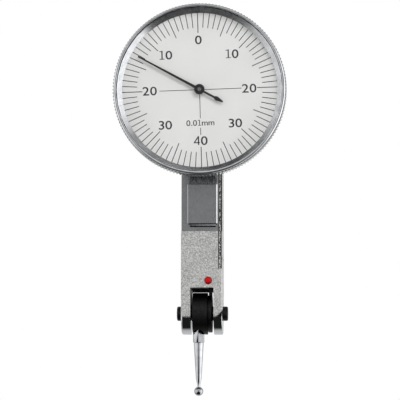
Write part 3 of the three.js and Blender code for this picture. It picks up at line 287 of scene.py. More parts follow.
def housing_chrome():
    """Satin chrome: pale and mottled with no mirror image, but ground where the ears curve under.

    The blast grain is drawn about three times as coarse as real, so that it shows.
    """
    material, tree = new_material("satin_chrome")
    point = object_point(tree)
    fine = add(tree, "ShaderNodeTexNoise", {"Vector": point, "Scale": 1 / (BLAST_GRAIN_MM * MM)})
    blotch = add(tree, "ShaderNodeTexNoise", {
        "Vector": point, "Scale": 1 / (BLAST_BLOTCH_MM * MM), "Detail": 3.0})
    tone = add(tree, "ShaderNodeMapRange", {0: blotch, 1: 0.3, 2: 0.7})
    satin = add(tree, "ShaderNodeMix", {0: tone, 6: colour(SATIN_DARK), 7: colour(SATIN)},
                data_type="RGBA")
    rough = add(tree, "ShaderNodeMapRange", {
        0: fine, 1: 0.3, 2: 0.7, 3: SATIN_ROUGHNESS[0], 4: SATIN_ROUGHNESS[1]})

    # The ears are ground below a line that rises to the right across the right ear.
    place = add(tree, "ShaderNodeSeparateXYZ", {0: object_point(tree, PIVOT)})
    across = add(tree, "ShaderNodeMapRange", {
        0: place.outputs["X"], 1: RIGHT_EAR_INNER_X, 2: RIGHT_EAR_INNER_X + RIGHT_EAR_WIDTH})
    arc = add(tree, "ShaderNodeMath", {0: across, 1: 2.0}, operation="POWER")
    rise = add(tree, "ShaderNodeMath", {0: arc, 1: EAR_POLISH_RISE}, operation="MULTIPLY")
    height = add(tree, "ShaderNodeMath", {0: place.outputs["Z"], 1: rise}, operation="SUBTRACT")
    polish = add(tree, "ShaderNodeMapRange", {
        0: height, 1: -EAR_POLISH_BELOW_PIVOT + EAR_POLISH_FADE,
        2: -EAR_POLISH_BELOW_PIVOT - EAR_POLISH_FADE})
    smooth = add(tree, "ShaderNodeMix", {0: polish, 2: rough, 3: EAR_ROUGHNESS})

    # Painted reflection: the upper part of each ground end, next to its front face, is painted dark for the dark
    # below that it mirrors.
    upper = add(tree, "ShaderNodeMapRange", {
        0: place.outputs["Z"], 1: -EAR_POLISH_BELOW_PIVOT - EAR_POLISH_FADE,
        2: -EAR_POLISH_BELOW_PIVOT + EAR_POLISH_FADE})
    front = add(tree, "ShaderNodeMapRange", {
        0: place.outputs["Y"], 1: FRONT_Y - PIVOT.y + 3 * NEAR, 2: FRONT_Y - PIVOT.y + NEAR})
    painted_reflection = add(tree, "ShaderNodeMath", {0: upper, 1: front}, operation="MULTIPLY")
    ground = add(tree, "ShaderNodeMix", {0: painted_reflection, 6: colour(GROUND), 7: colour(EAR_PAINTED_REFLECTION)},
                 data_type="RGBA")

    blasted = add(tree, "ShaderNodeMath", {0: 1.0, 1: polish}, operation="SUBTRACT")
    dents = add(tree, "ShaderNodeMath", {0: fine, 1: tone}, operation="ADD")
    relief = add(tree, "ShaderNodeBump", {
        "Height": dents, "Strength": blasted, "Distance": BLAST_DEPTH})
    shader = add(tree, "ShaderNodeBsdfPrincipled", {
        "Base Color": add(tree, "ShaderNodeMix", {0: polish, 6: satin, 7: ground},
                          data_type="RGBA"),
        "Metallic": 1.0, "Roughness": smooth, "Normal": relief})
    add(tree, "ShaderNodeOutputMaterial", {"Surface": shader})
    return material


def rail_painted_shade_and_reflection(tree, clean):
    """Painted shade in dark lines along the rail's corners, and a painted reflection of the knurl in dark streaks
    above the rail.
    """
    place = add(tree, "ShaderNodeSeparateXYZ", {0: object_point(tree, PIVOT)})
    # Painted shade: a dark line at each listed height, across the rail's or the neck's width.
    for line_z, half_width in PAINTED_SHADE_LINES_Z:
        along = add(tree, "ShaderNodeMath", {
            0: place.outputs["X"], 1: RAIL_MIDDLE_X, 2: half_width}, operation="COMPARE")
        near = add(tree, "ShaderNodeMath", {
            0: place.outputs["Z"], 1: line_z, 2: PAINTED_SHADE_LINE}, operation="COMPARE")
        shaded = add(tree, "ShaderNodeMath", {0: along, 1: near}, operation="MULTIPLY")
        clean = add(tree, "ShaderNodeMix", {0: shaded, 6: clean, 7: colour(PAINTED_SHADE_DARK)},
                    data_type="RGBA")
    # Painted reflection: dark vertical streaks for the knurl mirrored in the band above the rail.
    knurl_reflection = add(tree, "ShaderNodeTexNoise", {
        "Vector": object_point(tree, PIVOT, (1, 0, PAINTED_KNURL_REFLECTION_STRETCH)),
        "Scale": 1 / (PAINTED_KNURL_REFLECTION_STREAK_MM * MM)})
    streaks = add(tree, "ShaderNodeMapRange", {0: knurl_reflection, 1: 0.42, 2: 0.56, 3: 0.1, 4: 1.0})
    for socket, middle, reach in (("X", RAIL_MIDDLE_X, RAIL_HALF_WIDTH),
                                  ("Z", PAINTED_KNURL_REFLECTION_MIDDLE_Z, PAINTED_KNURL_REFLECTION_HALF_HEIGHT)):
        inside = add(tree, "ShaderNodeMath", {
            0: place.outputs[socket], 1: middle, 2: reach}, operation="COMPARE")
        streaks = add(tree, "ShaderNodeMath", {0: streaks, 1: inside}, operation="MULTIPLY")
    return add(tree, "ShaderNodeMix", {0: streaks, 6: clean, 7: colour(PAINTED_KNURL_REFLECTION_DARK)},
               data_type="RGBA")


def rounded(piece, width):
    """Rounds a piece's sharp edges."""
    rounding = piece.modifiers.new("edges", "BEVEL")
    rounding.width = width
    rounding.segments = EDGE_STEPS
    rounding.limit_method = "ANGLE"
    rounding.angle_limit = math.radians(ROUNDED_FROM_DEG)
    rounding.harden_normals = True


def copied(name, node, material, body="root"):
    """A merged copy of a CAD node, in place of the node."""
    bm = bmesh.new()
    bm.from_mesh(frame["nodes"][node].data)
    bmesh.ops.remove_doubles(bm, verts=bm.verts, dist=MERGE)
    bmesh.ops.dissolve_limit(bm, angle_limit=math.radians(FLAT_WITHIN_DEG), verts=bm.verts,
                             edges=bm.edges)
    piece = from_bmesh(name, bm, material)
    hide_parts(node)
    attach(piece, body)
    return piece


SATIN_CHROME = housing_chrome()
# Ground chrome: an even grey that mirrors softly, with painted shade in the rail's corners and a painted
# reflection of the knurl above the rail.
GROUND_CHROME = metal("ground_chrome", GROUND, GROUND_DARK, roughness=(0.22, 0.3), grain_mm=0.12,
                      blotch_mm=1.2, relief=0.05, painted_shade=rail_painted_shade_and_reflection)
# Painted shade: a dull dark metal laid on the roof of the deep slot above the drum.
SLOT_PAINTED_SHADE = metal("slot_painted_shade", "#303032", "#1e1e1f", roughness=(0.4, 0.5), grain_mm=0.1,
                   blotch_mm=0.8)
housing = copied("body_shell", "housing", SATIN_CHROME)
rounded(housing, HOUSING_EDGE)
housing.data.materials.append(GROUND_CHROME)
housing.data.materials.append(SLOT_PAINTED_SHADE)
# The dovetail's right front edge is worn back.
for vertex in housing.data.vertices:
    place = vertex.co - PIVOT
    if place.z > RECESS_FROM_PIVOT and vertex.co.y < FRONT_Y - NEAR:
        if abs(place.x - RAIL_RIGHT_EDGE) < NEAR / 2:
            vertex.co.y += RAIL_RIGHT_WEAR
        elif abs(place.x - RAIL_RIGHT_EDGE + RAIL_RIGHT_CHAMFER) < NEAR / 2:
            vertex.co.x -= RAIL_RIGHT_WEAR
# The dovetail and its recess are ground, and the roof of the fork's slot is painted dark as painted shade.
for face in housing.data.polygons:
    place = face.center - PIVOT
    depth = face.center.y - FRONT_Y
    in_front = depth < RECESS_DEPTH + 2 * NEAR
    if in_front and place.z > RECESS_FROM_PIVOT - NEAR and face.center.z < DIAL.z:
        if abs(depth) > NEAR:
            face.material_index = 1
    if abs(place.x) < SLOT_HALF and SLOT_TOP < place.z < SLOT_TOP + SLOT_ROOF and not in_front:
        face.material_index = 2

# Side cover: a plate let into the body's right side over the movement, satin chromed like the
# body, with ground edges, and held by four small slotted screws.
# Painted reflection: the dark colour of the cover's ground edges.
COVER_PAINTED_REFLECTION = "#4e4f51"
CHATTER = "#f6f6f4"
CHATTER_MM = 0.24
CHATTER_MIDDLE = 0.4
CHATTER_REACH = 0.22
SEAM_ROUGHNESS = 0.28
CHATTER_ROUGHNESS = 0.62
COVER_EDGE_NORMAL_X = 0.9
COVER_SCREW_SIDES = 40
COVER_SCREW_SHANK_SHARE = 0.55
COVER_SCREW_HEAD = 0.45 * MM
COVER_SCREW_SLOT = 0.22 * MM
COVER_SCREW_EDGE = 0.06 * MM
DRIVER_SLOT = 0.3 * MM
CUT_OVERRUN = 1 * MM
cover_low, cover_high = corners("side_cover")


def cover_edge_chrome():
    """Chrome on ground edges: frosted chatter marks down the middle, and a painted dark reflection over the rest
    of the edge, out to both seams.
    """
    material, tree = new_material("ground_cover_chrome")
    place = add(tree, "ShaderNodeSeparateXYZ", {0: object_point(tree)})
    across = add(tree, "ShaderNodeMapRange", {
        0: place.outputs["X"], 1: cover_low.x, 2: cover_high.x})
    middle = add(tree, "ShaderNodeMath", {0: across, 1: CHATTER_MIDDLE, 2: CHATTER_REACH},
                 operation="COMPARE")
    chatter = add(tree, "ShaderNodeTexNoise", {
        "Vector": object_point(tree), "Scale": 1 / (CHATTER_MM * MM)})
    marks = add(tree, "ShaderNodeMapRange", {0: chatter, 1: 0.46, 2: 0.56})
    frosted = add(tree, "ShaderNodeMath", {0: middle, 1: marks}, operation="MULTIPLY")
    shader = add(tree, "ShaderNodeBsdfPrincipled", {
        "Base Color": add(tree, "ShaderNodeMix", {
            0: frosted, 6: colour(COVER_PAINTED_REFLECTION), 7: colour(CHATTER)}, data_type="RGBA"),
        "Metallic": 1.0,
        "Roughness": add(tree, "ShaderNodeMapRange", {
            0: frosted, 3: SEAM_ROUGHNESS, 4: CHATTER_ROUGHNESS})})
    add(tree, "ShaderNodeOutputMaterial", {"Surface": shader})
    return material


def turned_mesh(profile, axis, centre, sides):
    """Spins a closed profile of (radius, place along the axis) points round an axis."""
    along = Vector({"X": (1, 0, 0), "Y": (0, 1, 0), "Z": (0, 0, 1)}[axis])
    outwards = Vector({"X": (0, 0, 1), "Y": (1, 0, 0), "Z": (1, 0, 0)}[axis])
    bm = bmesh.new()
    points = [bm.verts.new(centre + outwards * r + along * h) for r, h in profile]
    rim = [bm.edges.new(pair) for pair in zip(points, points[1:] + points[:1])]
    bmesh.ops.spin(bm, geom=points + rim, cent=centre, axis=along, angle=2 * math.pi,
                   steps=sides, use_merge=True)
    bmesh.ops.remove_doubles(bm, verts=bm.verts, dist=MERGE / 2)
    bmesh.ops.dissolve_degenerate(bm, edges=bm.edges, dist=MERGE / 4)
    bmesh.ops.recalc_face_normals(bm, faces=bm.faces)
    return bm


def turned(name, profile, axis, centre, material, sides):
    """A piece turned on a lathe."""
    return from_bmesh(name, turned_mesh(profile, axis, centre, sides), material)


def box_mesh(low, high):
    """A block between two corners."""
    bm = bmesh.new()
    bmesh.ops.create_cube(bm, size=1)
    bmesh.ops.scale(bm, verts=bm.verts, vec=high - low)
    bmesh.ops.translate(bm, verts=bm.verts, vec=(low + high) / 2)
    return bm


def combine(piece, bm, kind="DIFFERENCE"):
    """Cuts a bmesh out of a piece or joins it on, before the piece's edges are rounded."""
    cutter = from_bmesh("cutter", bm, piece.data.materials[0])
    cutting = piece.modifiers.new("cut", "BOOLEAN")
    cutting.object = cutter
    cutting.operation = kind
    cutting.solver = "EXACT"
    result = bpy.data.meshes.new_from_object(
        piece.evaluated_get(bpy.context.evaluated_depsgraph_get()))
    piece.modifiers.remove(cutting)
    piece.data = result
    result.shade_smooth()
    result.set_sharp_from_angle(angle=math.radians(SHARP_DEG))
    bpy.data.objects.remove(cutter)


cover = copied("cover_plate", "side_cover", SATIN_CHROME)
rounded(cover, HOUSING_EDGE)
cover.data.materials.append(cover_edge_chrome())
for face in cover.data.polygons:
    if abs(face.normal.x) < COVER_EDGE_NORMAL_X:
        face.material_index = 1

# Turned steel: a bright grey with soft mirror images.
SCREW_STEEL = metal("turned_steel", "#c0c0c2", "#a2a2a6", roughness=(0.2, 0.34), grain_mm=0.08,
                    blotch_mm=0.6)
for number in range(1, 5):
    node = f"side_cover_screw_{number}"
    low, high = corners(node)
    middle = (low + high) / 2
    head = (high.y - low.y) / 2
    shank = head * COVER_SCREW_SHANK_SHARE
    under = high.x - COVER_SCREW_HEAD
    screw = turned(f"cover_screw_{number}", [
        (0, low.x), (shank, low.x), (shank, under), (head, under), (head, high.x), (0, high.x)],
        "X", Vector((0, middle.y, middle.z)), SCREW_STEEL, COVER_SCREW_SIDES)
    combine(screw, box_mesh(
        Vector((high.x - COVER_SCREW_SLOT, low.y - CUT_OVERRUN, middle.z - DRIVER_SLOT / 2)),
        Vector((high.x + CUT_OVERRUN, high.y + CUT_OVERRUN, middle.z + DRIVER_SLOT / 2))))
    rounded(screw, COVER_SCREW_EDGE)
    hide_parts(node)
    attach(screw, "root")

# Pivot screws: blackened steel, with low rounded slotted heads outside the ears and cone points
# that carry the lever's axle between them.
PIVOT_SCREW_HEAD = 1.1 * MM
PIVOT_SCREW_RADIUS = 1.0 * MM
PIVOT_SCREW_ROUNDING = 0.3 * MM
PIVOT_SCREW_SLOT = 0.25 * MM
PIVOT_SCREW_SIDES = 64
PIVOT_SCREW_ARC_DEG = range(0, 91, 15)
CONE_RADIUS = 0.5 * MM
CONE_LENGTH = 0.6 * MM
pivot_line = Vector((0, PIVOT.y, PIVOT.z))
# Blackened steel: an oxide black with a faint grey shine along its edges.
BLACK_STEEL = metal("blackened_steel", "#303031", "#252526", roughness=(0.42, 0.55),
                    grain_mm=0.06, blotch_mm=0.5, relief=0.1)
for side, node in ((-1, "pivot_screw_left"), (1, "pivot_screw_right")):
    low, high = corners(node)
    head = (high.z - low.z) / 2
    outer, point = (low.x, high.x) if side < 0 else (high.x, low.x)
    under = outer - side * PIVOT_SCREW_HEAD
    cone_end = point + side * CONE_LENGTH
    arc = [(head - PIVOT_SCREW_ROUNDING * (1 - math.cos(turn)),
            outer - side * PIVOT_SCREW_ROUNDING * (1 - math.sin(turn)))
           for turn in map(math.radians, PIVOT_SCREW_ARC_DEG)]
    screw = turned(f"fork_{node}", [
        (0, point), (CONE_RADIUS, cone_end), (PIVOT_SCREW_RADIUS, cone_end),
        (PIVOT_SCREW_RADIUS, under), (head, under), *arc, (0, outer)],
        "X", pivot_line, BLACK_STEEL, PIVOT_SCREW_SIDES)
    slot_ends = sorted((outer - side * PIVOT_SCREW_SLOT, outer + side * CUT_OVERRUN))
    combine(screw, box_mesh(
        Vector((slot_ends[0], PIVOT.y - DRIVER_SLOT / 2, low.z - CUT_OVERRUN)),
        Vector((slot_ends[1], PIVOT.y + DRIVER_SLOT / 2, high.z + CUT_OVERRUN))))
    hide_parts(node)
    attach(screw, "root")

# Red seal: a drop of sealing lacquer over the adjusting screw. It set with a smooth dome and
# a wet gloss; its rim is painted a deeper red as painted shade.
SEAL_SIDES = 48
SEAL_DOME_DEG = range(0, 91, 10)
SEAL_FLOW_MM = 0.9
SEAL_FLOW_DEPTH = 0.05 * MM
SEAL_REDS = ("#a80608", "#cc0c0e")
SEAL_PAINTED_RIM_SHADE = "#6a0304"
low, high = corners("red_seal")
middle = (low + high) / 2
seal_radius = (high.x - low.x) / 2
seal_dome = [(seal_radius * math.cos(turn), FRONT_Y - (FRONT_Y - low.y) * math.sin(turn))
             for turn in map(math.radians, SEAL_DOME_DEG)]
# Sealing lacquer: a deep wet red with one small sharp highlight.
lacquer, tree = new_material("sealing_lacquer")
flow = add(tree, "ShaderNodeTexNoise", {
    "Vector": object_point(tree, middle), "Scale": 1 / (SEAL_FLOW_MM * MM)})
tone = add(tree, "ShaderNodeMapRange", {0: flow, 1: 0.3, 2: 0.7})
reds = add(tree, "ShaderNodeMix", {
    0: tone, 6: colour(SEAL_REDS[0]), 7: colour(SEAL_REDS[1])}, data_type="RGBA")
reach = add(tree, "ShaderNodeVectorMath", {0: object_point(tree, middle, (1, 0, 1))},
            operation="LENGTH")
# Painted shade: the red darkens towards the rim of the dome.
rim_shade = add(tree, "ShaderNodeMapRange", {0: reach, 1: seal_radius / 2, 2: seal_radius})
shader = add(tree, "ShaderNodeBsdfPrincipled", {
    "Base Color": add(tree, "ShaderNodeMix", {0: rim_shade, 6: reds, 7: colour(SEAL_PAINTED_RIM_SHADE)},
                      data_type="RGBA"),
    "Roughness": 0.1, "IOR": 1.5, "Specular IOR Level": 0.2,
    "Normal": add(tree, "ShaderNodeBump", {
        "Height": flow, "Strength": 0.1, "Distance": SEAL_FLOW_DEPTH})})
add(tree, "ShaderNodeOutputMaterial", {"Surface": shader})
seal = turned("seal_drop", [(0, high.y), (seal_radius, high.y), *seal_dome], "Y",
              Vector((middle.x, 0, middle.z)), lacquer, SEAL_SIDES)
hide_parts("red_seal")
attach(seal, "root")

# Stylus holder: a blackened drum on the lever's axle, gripped by friction, with the arched seat
# that the stylus screws into. Its rims are chamfered and worn a little bright.
DRUM_SIDES = 128
DRUM_EDGE = 0.1 * MM
DRUM_BORE = 1.08 * MM
ARCH_RADIUS = 1.45 * MM
ARCH_BELOW_PIVOT = 5 * MM
ARCH_LENGTH = 12 * MM
ARCH_SIDES = 64
NECK_RADIUS = 1.3 * MM
NECK_TOP = 3.65 * MM
NECK_BOTTOM = 6.4 * MM
SEAT_GAP = 0.03 * MM
SEAT_ROOM = 0.02 * MM
SEAT_DEPTH = 3 * MM
THREAD_RADIUS = 0.75 * MM
THREAD_TOP = 1.4 * MM
THREAD_DEPTH = 4 * MM
THREAD_SIDES = 32
drum_low, drum_high = corners("stylus_holder")
drum_radius = (drum_high.z - drum_low.z) / 2
stylus_low, stylus_high = corners("stylus_shank")
stylus_x = (stylus_low.x + stylus_high.x) / 2


def rod(radius, length, below_pivot, sides, lie=Matrix()):
    """A round cutter on the stylus's line, with its middle so far below the pivot."""
    bm = bmesh.new()
    bmesh.ops.create_cone(bm, cap_ends=True, segments=sides, radius1=radius, radius2=radius,
                          depth=length, matrix=lie)
    bmesh.ops.translate(bm, verts=bm.verts, vec=(stylus_x, PIVOT.y, PIVOT.z - below_pivot))
    return bm


drum = turned("drum", [
    (DRUM_BORE, drum_low.x), (drum_radius, drum_low.x), (drum_radius, drum_high.x),
    (DRUM_BORE, drum_high.x)], "X", pivot_line, BLACK_STEEL, DRUM_SIDES)
combine(drum, rod(ARCH_RADIUS, ARCH_LENGTH, ARCH_BELOW_PIVOT, ARCH_SIDES,
                  Matrix.Rotation(math.radians(90), 4, "X")))
combine(drum, rod(NECK_RADIUS + SEAT_GAP, SEAT_DEPTH, NECK_TOP - SEAT_ROOM + SEAT_DEPTH / 2,
                  ARCH_SIDES))
combine(drum, rod(THREAD_RADIUS, THREAD_DEPTH, THREAD_TOP + THREAD_DEPTH / 2, THREAD_SIDES))
rounded(drum, DRUM_EDGE)
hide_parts("stylus_holder")
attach(drum, "stylus")

# Lever: a blackened plate with a round cheek beside the drum and an arm up into the body. Thin
# blackened washers stand between the moving pieces and the ears.
LEVER_BORE = 1.05 * MM
LEVER_CHEEK = 4.25 * MM
LEVER_EDGE = 0.08 * MM
WASHER_EDGE = 0.04 * MM
WASHER_SIDES = 64
lever_low, lever_high = corners("main_lever")
lever = copied("lever_plate", "main_lever", BLACK_STEEL, "lever")
combine(lever, turned_mesh([
    (LEVER_BORE, lever_low.x), (LEVER_CHEEK, lever_low.x), (LEVER_CHEEK, lever_high.x),
    (LEVER_BORE, lever_high.x)], "X", pivot_line, DRUM_SIDES), "UNION")
rounded(lever, LEVER_EDGE)
for node in ("thrust_washer_left", "thrust_washer_right", "clutch_washer"):
    low, high = corners(node)
    washer_radius = (high.z - low.z) / 2
    washer = turned(f"turned_{node}", [
        (LEVER_BORE, low.x), (washer_radius, low.x), (washer_radius, high.x),
        (LEVER_BORE, high.x)], "X", pivot_line, BLACK_STEEL, WASHER_SIDES)
    rounded(washer, WASHER_EDGE)
    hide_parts(node)
    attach(washer, "lever")

# Stylus: ground and polished steel, screwed into the drum by the flats below its seat, tapering
# to a thin nose that carries the brazed ball.
STYLUS_SIDES = 64
STYLUS_PROFILE_MM = [
    (0, 1.45), (0.7, 1.45), (0.7, 3.65), (1.3, 3.65), (1.3, 6.38), (1.27, 6.44), (1.13, 6.55),
    (0.65, 14.5), (0.5, 15.3), (0.37, 15.9), (0.37, 16.5), (0, 16.5),
]
SPANNER_FLAT = 1 * MM
SPANNER_CUT = 2 * MM
SPANNER_TURN = math.radians(40)
SPANNER_FACE_ALIKE = 0.9995
BALL_SIDES = 64
# Polished steel: long bright and dark stripes down the taper.
STYLUS_STEEL = metal("polished_steel", "#bcbdc0", "#a8aaad", roughness=(0.07, 0.16),
                     grain_mm=0.05, blotch_mm=1.2, relief=0.05)
# Milled steel: a duller grey on the spanner flats.
MILLED_STEEL = metal("milled_steel", "#8f9093", "#7f8083", roughness=(0.16, 0.26),
                     grain_mm=0.05, blotch_mm=0.4, relief=0.1)
# Polished carbide: a darker and very smooth mirror on the ball.
CARBIDE = metal("polished_carbide", "#a8a9ad", "#97989c", roughness=(0.05, 0.1),
                grain_mm=0.04, blotch_mm=0.8, relief=0.03)
stylus_place = Vector((stylus_x, PIVOT.y, PIVOT.z))
stylus = turned("stylus_blank", [(r * MM, -down * MM) for r, down in STYLUS_PROFILE_MM], "Z",
                stylus_place, STYLUS_STEEL, STYLUS_SIDES)
for turn in (SPANNER_TURN, SPANNER_TURN + math.pi):
    flat = box_mesh(Vector((-SPANNER_CUT, -SPANNER_FLAT - SPANNER_CUT, -NECK_BOTTOM)),
                    Vector((SPANNER_CUT, -SPANNER_FLAT, -NECK_TOP + CUT_OVERRUN)))
    bmesh.ops.transform(flat, verts=flat.verts, matrix=Matrix.Translation(
        stylus_place) @ Matrix.Rotation(turn, 4, "Z"))
    combine(stylus, flat)
stylus.data.materials.append(MILLED_STEEL)
flat_normal = Vector((math.sin(SPANNER_TURN), -math.cos(SPANNER_TURN), 0))
for face in stylus.data.polygons:
    alike = abs(face.normal.dot(flat_normal))
    if face.center.z < PIVOT.z - NECK_TOP and alike > SPANNER_FACE_ALIKE:
        face.material_index = 1
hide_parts("stylus_shank")
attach(stylus, "stylus")
ball_low, ball_high = corners("stylus_ball")
ball_mesh = bmesh.new()
bmesh.ops.create_uvsphere(ball_mesh, u_segments=BALL_SIDES, v_segments=BALL_SIDES // 2,
                          radius=(ball_high.z - ball_low.z) / 2)
bmesh.ops.translate(ball_mesh, verts=ball_mesh.verts, vec=(ball_low + ball_high) / 2)
ball = from_bmesh("ball_tip", ball_mesh, CARBIDE)
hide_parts("stylus_ball")
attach(ball, "stylus")

# Bezel: a turned and polished steel ring with a fine straight knurl round its edge. A narrow
# front lip, and a bright slope that falls from it to the dial.
KNURL_DEPTH = 0.32 * MM
KNURL_TEETH = 160
KNURL_EASE = 0.05 * MM
KNURL_SLOPE = 2.6
KNURL_CURVE = 1.3
STEPS_PER_TOOTH = 8
LIP_INSET = 0.3 * MM
LIP_WIDTH = 0.6 * MM
LIP_OUTER_MM = [(-0.12, 0.5), (0.02, 0.44), (0.03, 0.34), (-0.02, 0.16), (-0.1, 0.06),
                (-0.22, 0.01), (-0.32, 0)]
LIP_INNER_MM = [(0.1, 0.01), (0.03, 0.04), (0, 0.1)]
GROOVE_DEPTH = 0.12 * MM
BEZEL_WALL = 1.4 * MM
WINDOW_RADIUS = 17.25 * MM
FRONT_BAND = 0.65 * MM
BACK_RIM = 0.35 * MM
BACK_CHAMFER = 0.08 * MM
FIT_GAP = 0.05 * MM
# Painted shade in the knurl's grooves and in the groove behind the lip.
KNURL_SHADE_EDGE = 0.06 * MM
SHADE_INSIDE_LIP = (0.2 * MM, 0.14 * MM)
SHADE_BEHIND_LIP = (0.42 * MM, 0.48 * MM)
dial_axis = Vector((DIAL.x, 0, DIAL.z))
bezel_low, bezel_high = corners("bezel")
crystal_low, crystal_high = corners("crystal")
gasket_back = corners("crystal_gasket")[1].y
crystal_radius = (crystal_high.x - crystal_low.x) / 2
knurl_tip = (bezel_high.x - bezel_low.x) / 2
knurl_root = knurl_tip - KNURL_DEPTH
lip_outer = knurl_tip - LIP_INSET
lip_inner = lip_outer - LIP_WIDTH
ledge = lip_inner - FIT_GAP
bezel_bore = knurl_tip - BEZEL_WALL
lip_y = bezel_low.y
back_y = bezel_high.y
BEZEL_PROFILE = [
    (bezel_bore, back_y), (knurl_root - BACK_CHAMFER, back_y), (knurl_root, back_y - BACK_CHAMFER),
    (knurl_root, back_y - BACK_RIM), (knurl_tip, back_y - BACK_RIM - KNURL_EASE),
    (knurl_tip, lip_y + FRONT_BAND + KNURL_EASE), (lip_outer - GROOVE_DEPTH, lip_y + FRONT_BAND),
    *[(lip_outer + out * MM, lip_y + back * MM) for out, back in LIP_OUTER_MM],
    *[(lip_inner + out * MM, lip_y + back * MM) for out, back in LIP_INNER_MM],
    (lip_inner, crystal_low.y - FIT_GAP), (crystal_radius + FIT_GAP, crystal_low.y - FIT_GAP),
    (crystal_radius + FIT_GAP, gasket_back + FIT_GAP), (ledge, gasket_back + FIT_GAP),
    (WINDOW_RADIUS, DIAL.y - FIT_GAP), (bezel_bore, DIAL.y - FIT_GAP),
]


def knurl_painted_shade(tree, clean):
    """Painted shade: a dark colour laid in the knurl's grooves and in the groove before it."""
    place = add(tree, "ShaderNodeSeparateXYZ", {0: object_point(tree, DIAL)})
    radius = add(tree, "ShaderNodeVectorMath", {0: object_point(tree, DIAL, (1, 0, 1))},
                 operation="LENGTH")
    shaded = add(tree, "ShaderNodeMapRange", {
        0: radius, 1: knurl_tip - KNURL_SHADE_EDGE, 2: knurl_root + KNURL_SHADE_EDGE})
    outside = add(tree, "ShaderNodeMapRange", {
        0: radius, 1: lip_outer - SHADE_INSIDE_LIP[0], 2: lip_outer - SHADE_INSIDE_LIP[1]})
    behind = add(tree, "ShaderNodeMapRange", {
        0: place.outputs["Y"], 1: lip_y + SHADE_BEHIND_LIP[0] - DIAL.y,
        2: lip_y + SHADE_BEHIND_LIP[1] - DIAL.y})
    for limit in (outside, behind):
        shaded = add(tree, "ShaderNodeMath", {0: shaded, 1: limit}, operation="MULTIPLY")
    return add(tree, "ShaderNodeMix", {0: shaded, 6: clean, 7: colour(PAINTED_SHADE_DARK)}, data_type="RGBA")


# Polished chrome: sharp bright and dark bands round the slope and the lip, with painted shade in the knurl's
# grooves.
bezel_chrome = metal("bezel_chrome", "#d0d2d4", "#bdbfc2", roughness=(0.07, 0.15), grain_mm=0.08,
                     blotch_mm=2.5, relief=0.05, painted_shade=knurl_painted_shade)
bezel = turned("bezel_ring", BEZEL_PROFILE, "Y", dial_axis, bezel_chrome,
               KNURL_TEETH * STEPS_PER_TOOTH)
# The grooves of the knurl are pressed into the widest band.
for vertex in bezel.data.vertices:
    from_axis = vertex.co - Vector((DIAL.x, vertex.co.y, DIAL.z))
    if from_axis.length > knurl_tip - NEAR / 2:
        turn = math.atan2(from_axis.z, from_axis.x) * KNURL_TEETH / (2 * math.pi)
        groove = min(1.0, KNURL_SLOPE * abs(turn - round(turn)) ** KNURL_CURVE)
        vertex.co -= from_axis.normalized() * KNURL_DEPTH * groove
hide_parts("bezel")
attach(bezel, "bezel_assembly")

# Crystal: a clear flat disc, cut from cast acrylic sheet and pressed into the bezel under its
# lip, against the gasket.
CRYSTAL_SIDES = 192
CRYSTAL_EDGE = 0.08 * MM
CRYSTAL_HAZE_MM = 3.0
CRYSTAL_CLEAR = "#fafafa"
CRYSTAL_GLOSS = "#fdfdfd"
ACRYLIC_IOR = 1.49
# Clear acrylic: nearly unseen, with a thin mirror image over the dial.
clear, tree = new_material("clear_acrylic")
haze = add(tree, "ShaderNodeTexNoise", {
    "Vector": object_point(tree, DIAL), "Scale": 1 / (CRYSTAL_HAZE_MM * MM)})
gloss = add(tree, "ShaderNodeBsdfPrincipled", {
    "Base Color": colour(CRYSTAL_GLOSS), "Metallic": 1.0,
    "Roughness": add(tree, "ShaderNodeMapRange", {0: haze, 1: 0.3, 2: 0.7, 3: 0.02, 4: 0.05})})
see_through = add(tree, "ShaderNodeBsdfTransparent", {"Color": colour(CRYSTAL_CLEAR)})
fresnel = add(tree, "ShaderNodeFresnel", {"IOR": ACRYLIC_IOR})
leaving = add(tree, "ShaderNodeNewGeometry").outputs["Backfacing"]
entering = add(tree, "ShaderNodeMath", {0: 1.0, 1: leaving}, operation="SUBTRACT")
mirrored = add(tree, "ShaderNodeMath", {0: fresnel, 1: entering}, operation="MULTIPLY")
both = add(tree, "ShaderNodeMixShader", {0: mirrored, 1: see_through, 2: gloss})
add(tree, "ShaderNodeOutputMaterial", {"Surface": both})
crystal = turned("crystal_disc", [
    (0, crystal_high.y), (crystal_radius, crystal_high.y), (crystal_radius, crystal_low.y),
    (0, crystal_low.y)], "Y", dial_axis, clear, CRYSTAL_SIDES)
rounded(crystal, CRYSTAL_EDGE)
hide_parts("crystal")
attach(crystal, "bezel_assembly")

# Dial: a brass plate, sprayed matt white and printed in dark grey: eighty ticks, the figures of
# both half turns, a fine cross and the value of one division. It sits in the bezel turned by a
# degree and a half, as the photograph shows.
DIAL_TURN = math.radians(1.55)
DIAL_SIDES = 192
DIAL_HOLE = 0.9 * MM
PAINT_SPECK_MM = 0.12
PAINT_CLOUD_MM = 9.0
PAINT_DEPTH = 0.02 * MM
PAINT_WHITES = ("#ececea", "#f3f3f2")
INK_WEAR_MM = 0.5
INK_GREYS = ("#1f1f21", "#2c2c2e")
PRINT_HEIGHT = 0.012 * MM
TICKS = 80
TICKS_PER_LONG = 5
TICK_OUTER = 17.35 * MM
SHORT_TICK_INNER = 13.95 * MM
LONG_TICK_INNER = 12.75 * MM
SHORT_TICK_WIDTH = 0.17 * MM
LONG_TICK_WIDTH = 0.18 * MM
CROSS_WIDTH = 0.14 * MM
CROSS_LINES_MM = [((-8.9, 0), (-1.1, 0)), ((1.1, 0), (9.3, 0)), ((0, -1.1), (0, -6.4)),
                  ((0, -8.5), (0, -10.1))]
FIGURE_HEIGHT = 1.96 * MM
FIGURE_STRETCH = 1.19
FIGURE_GAP_SHARE = 0.12
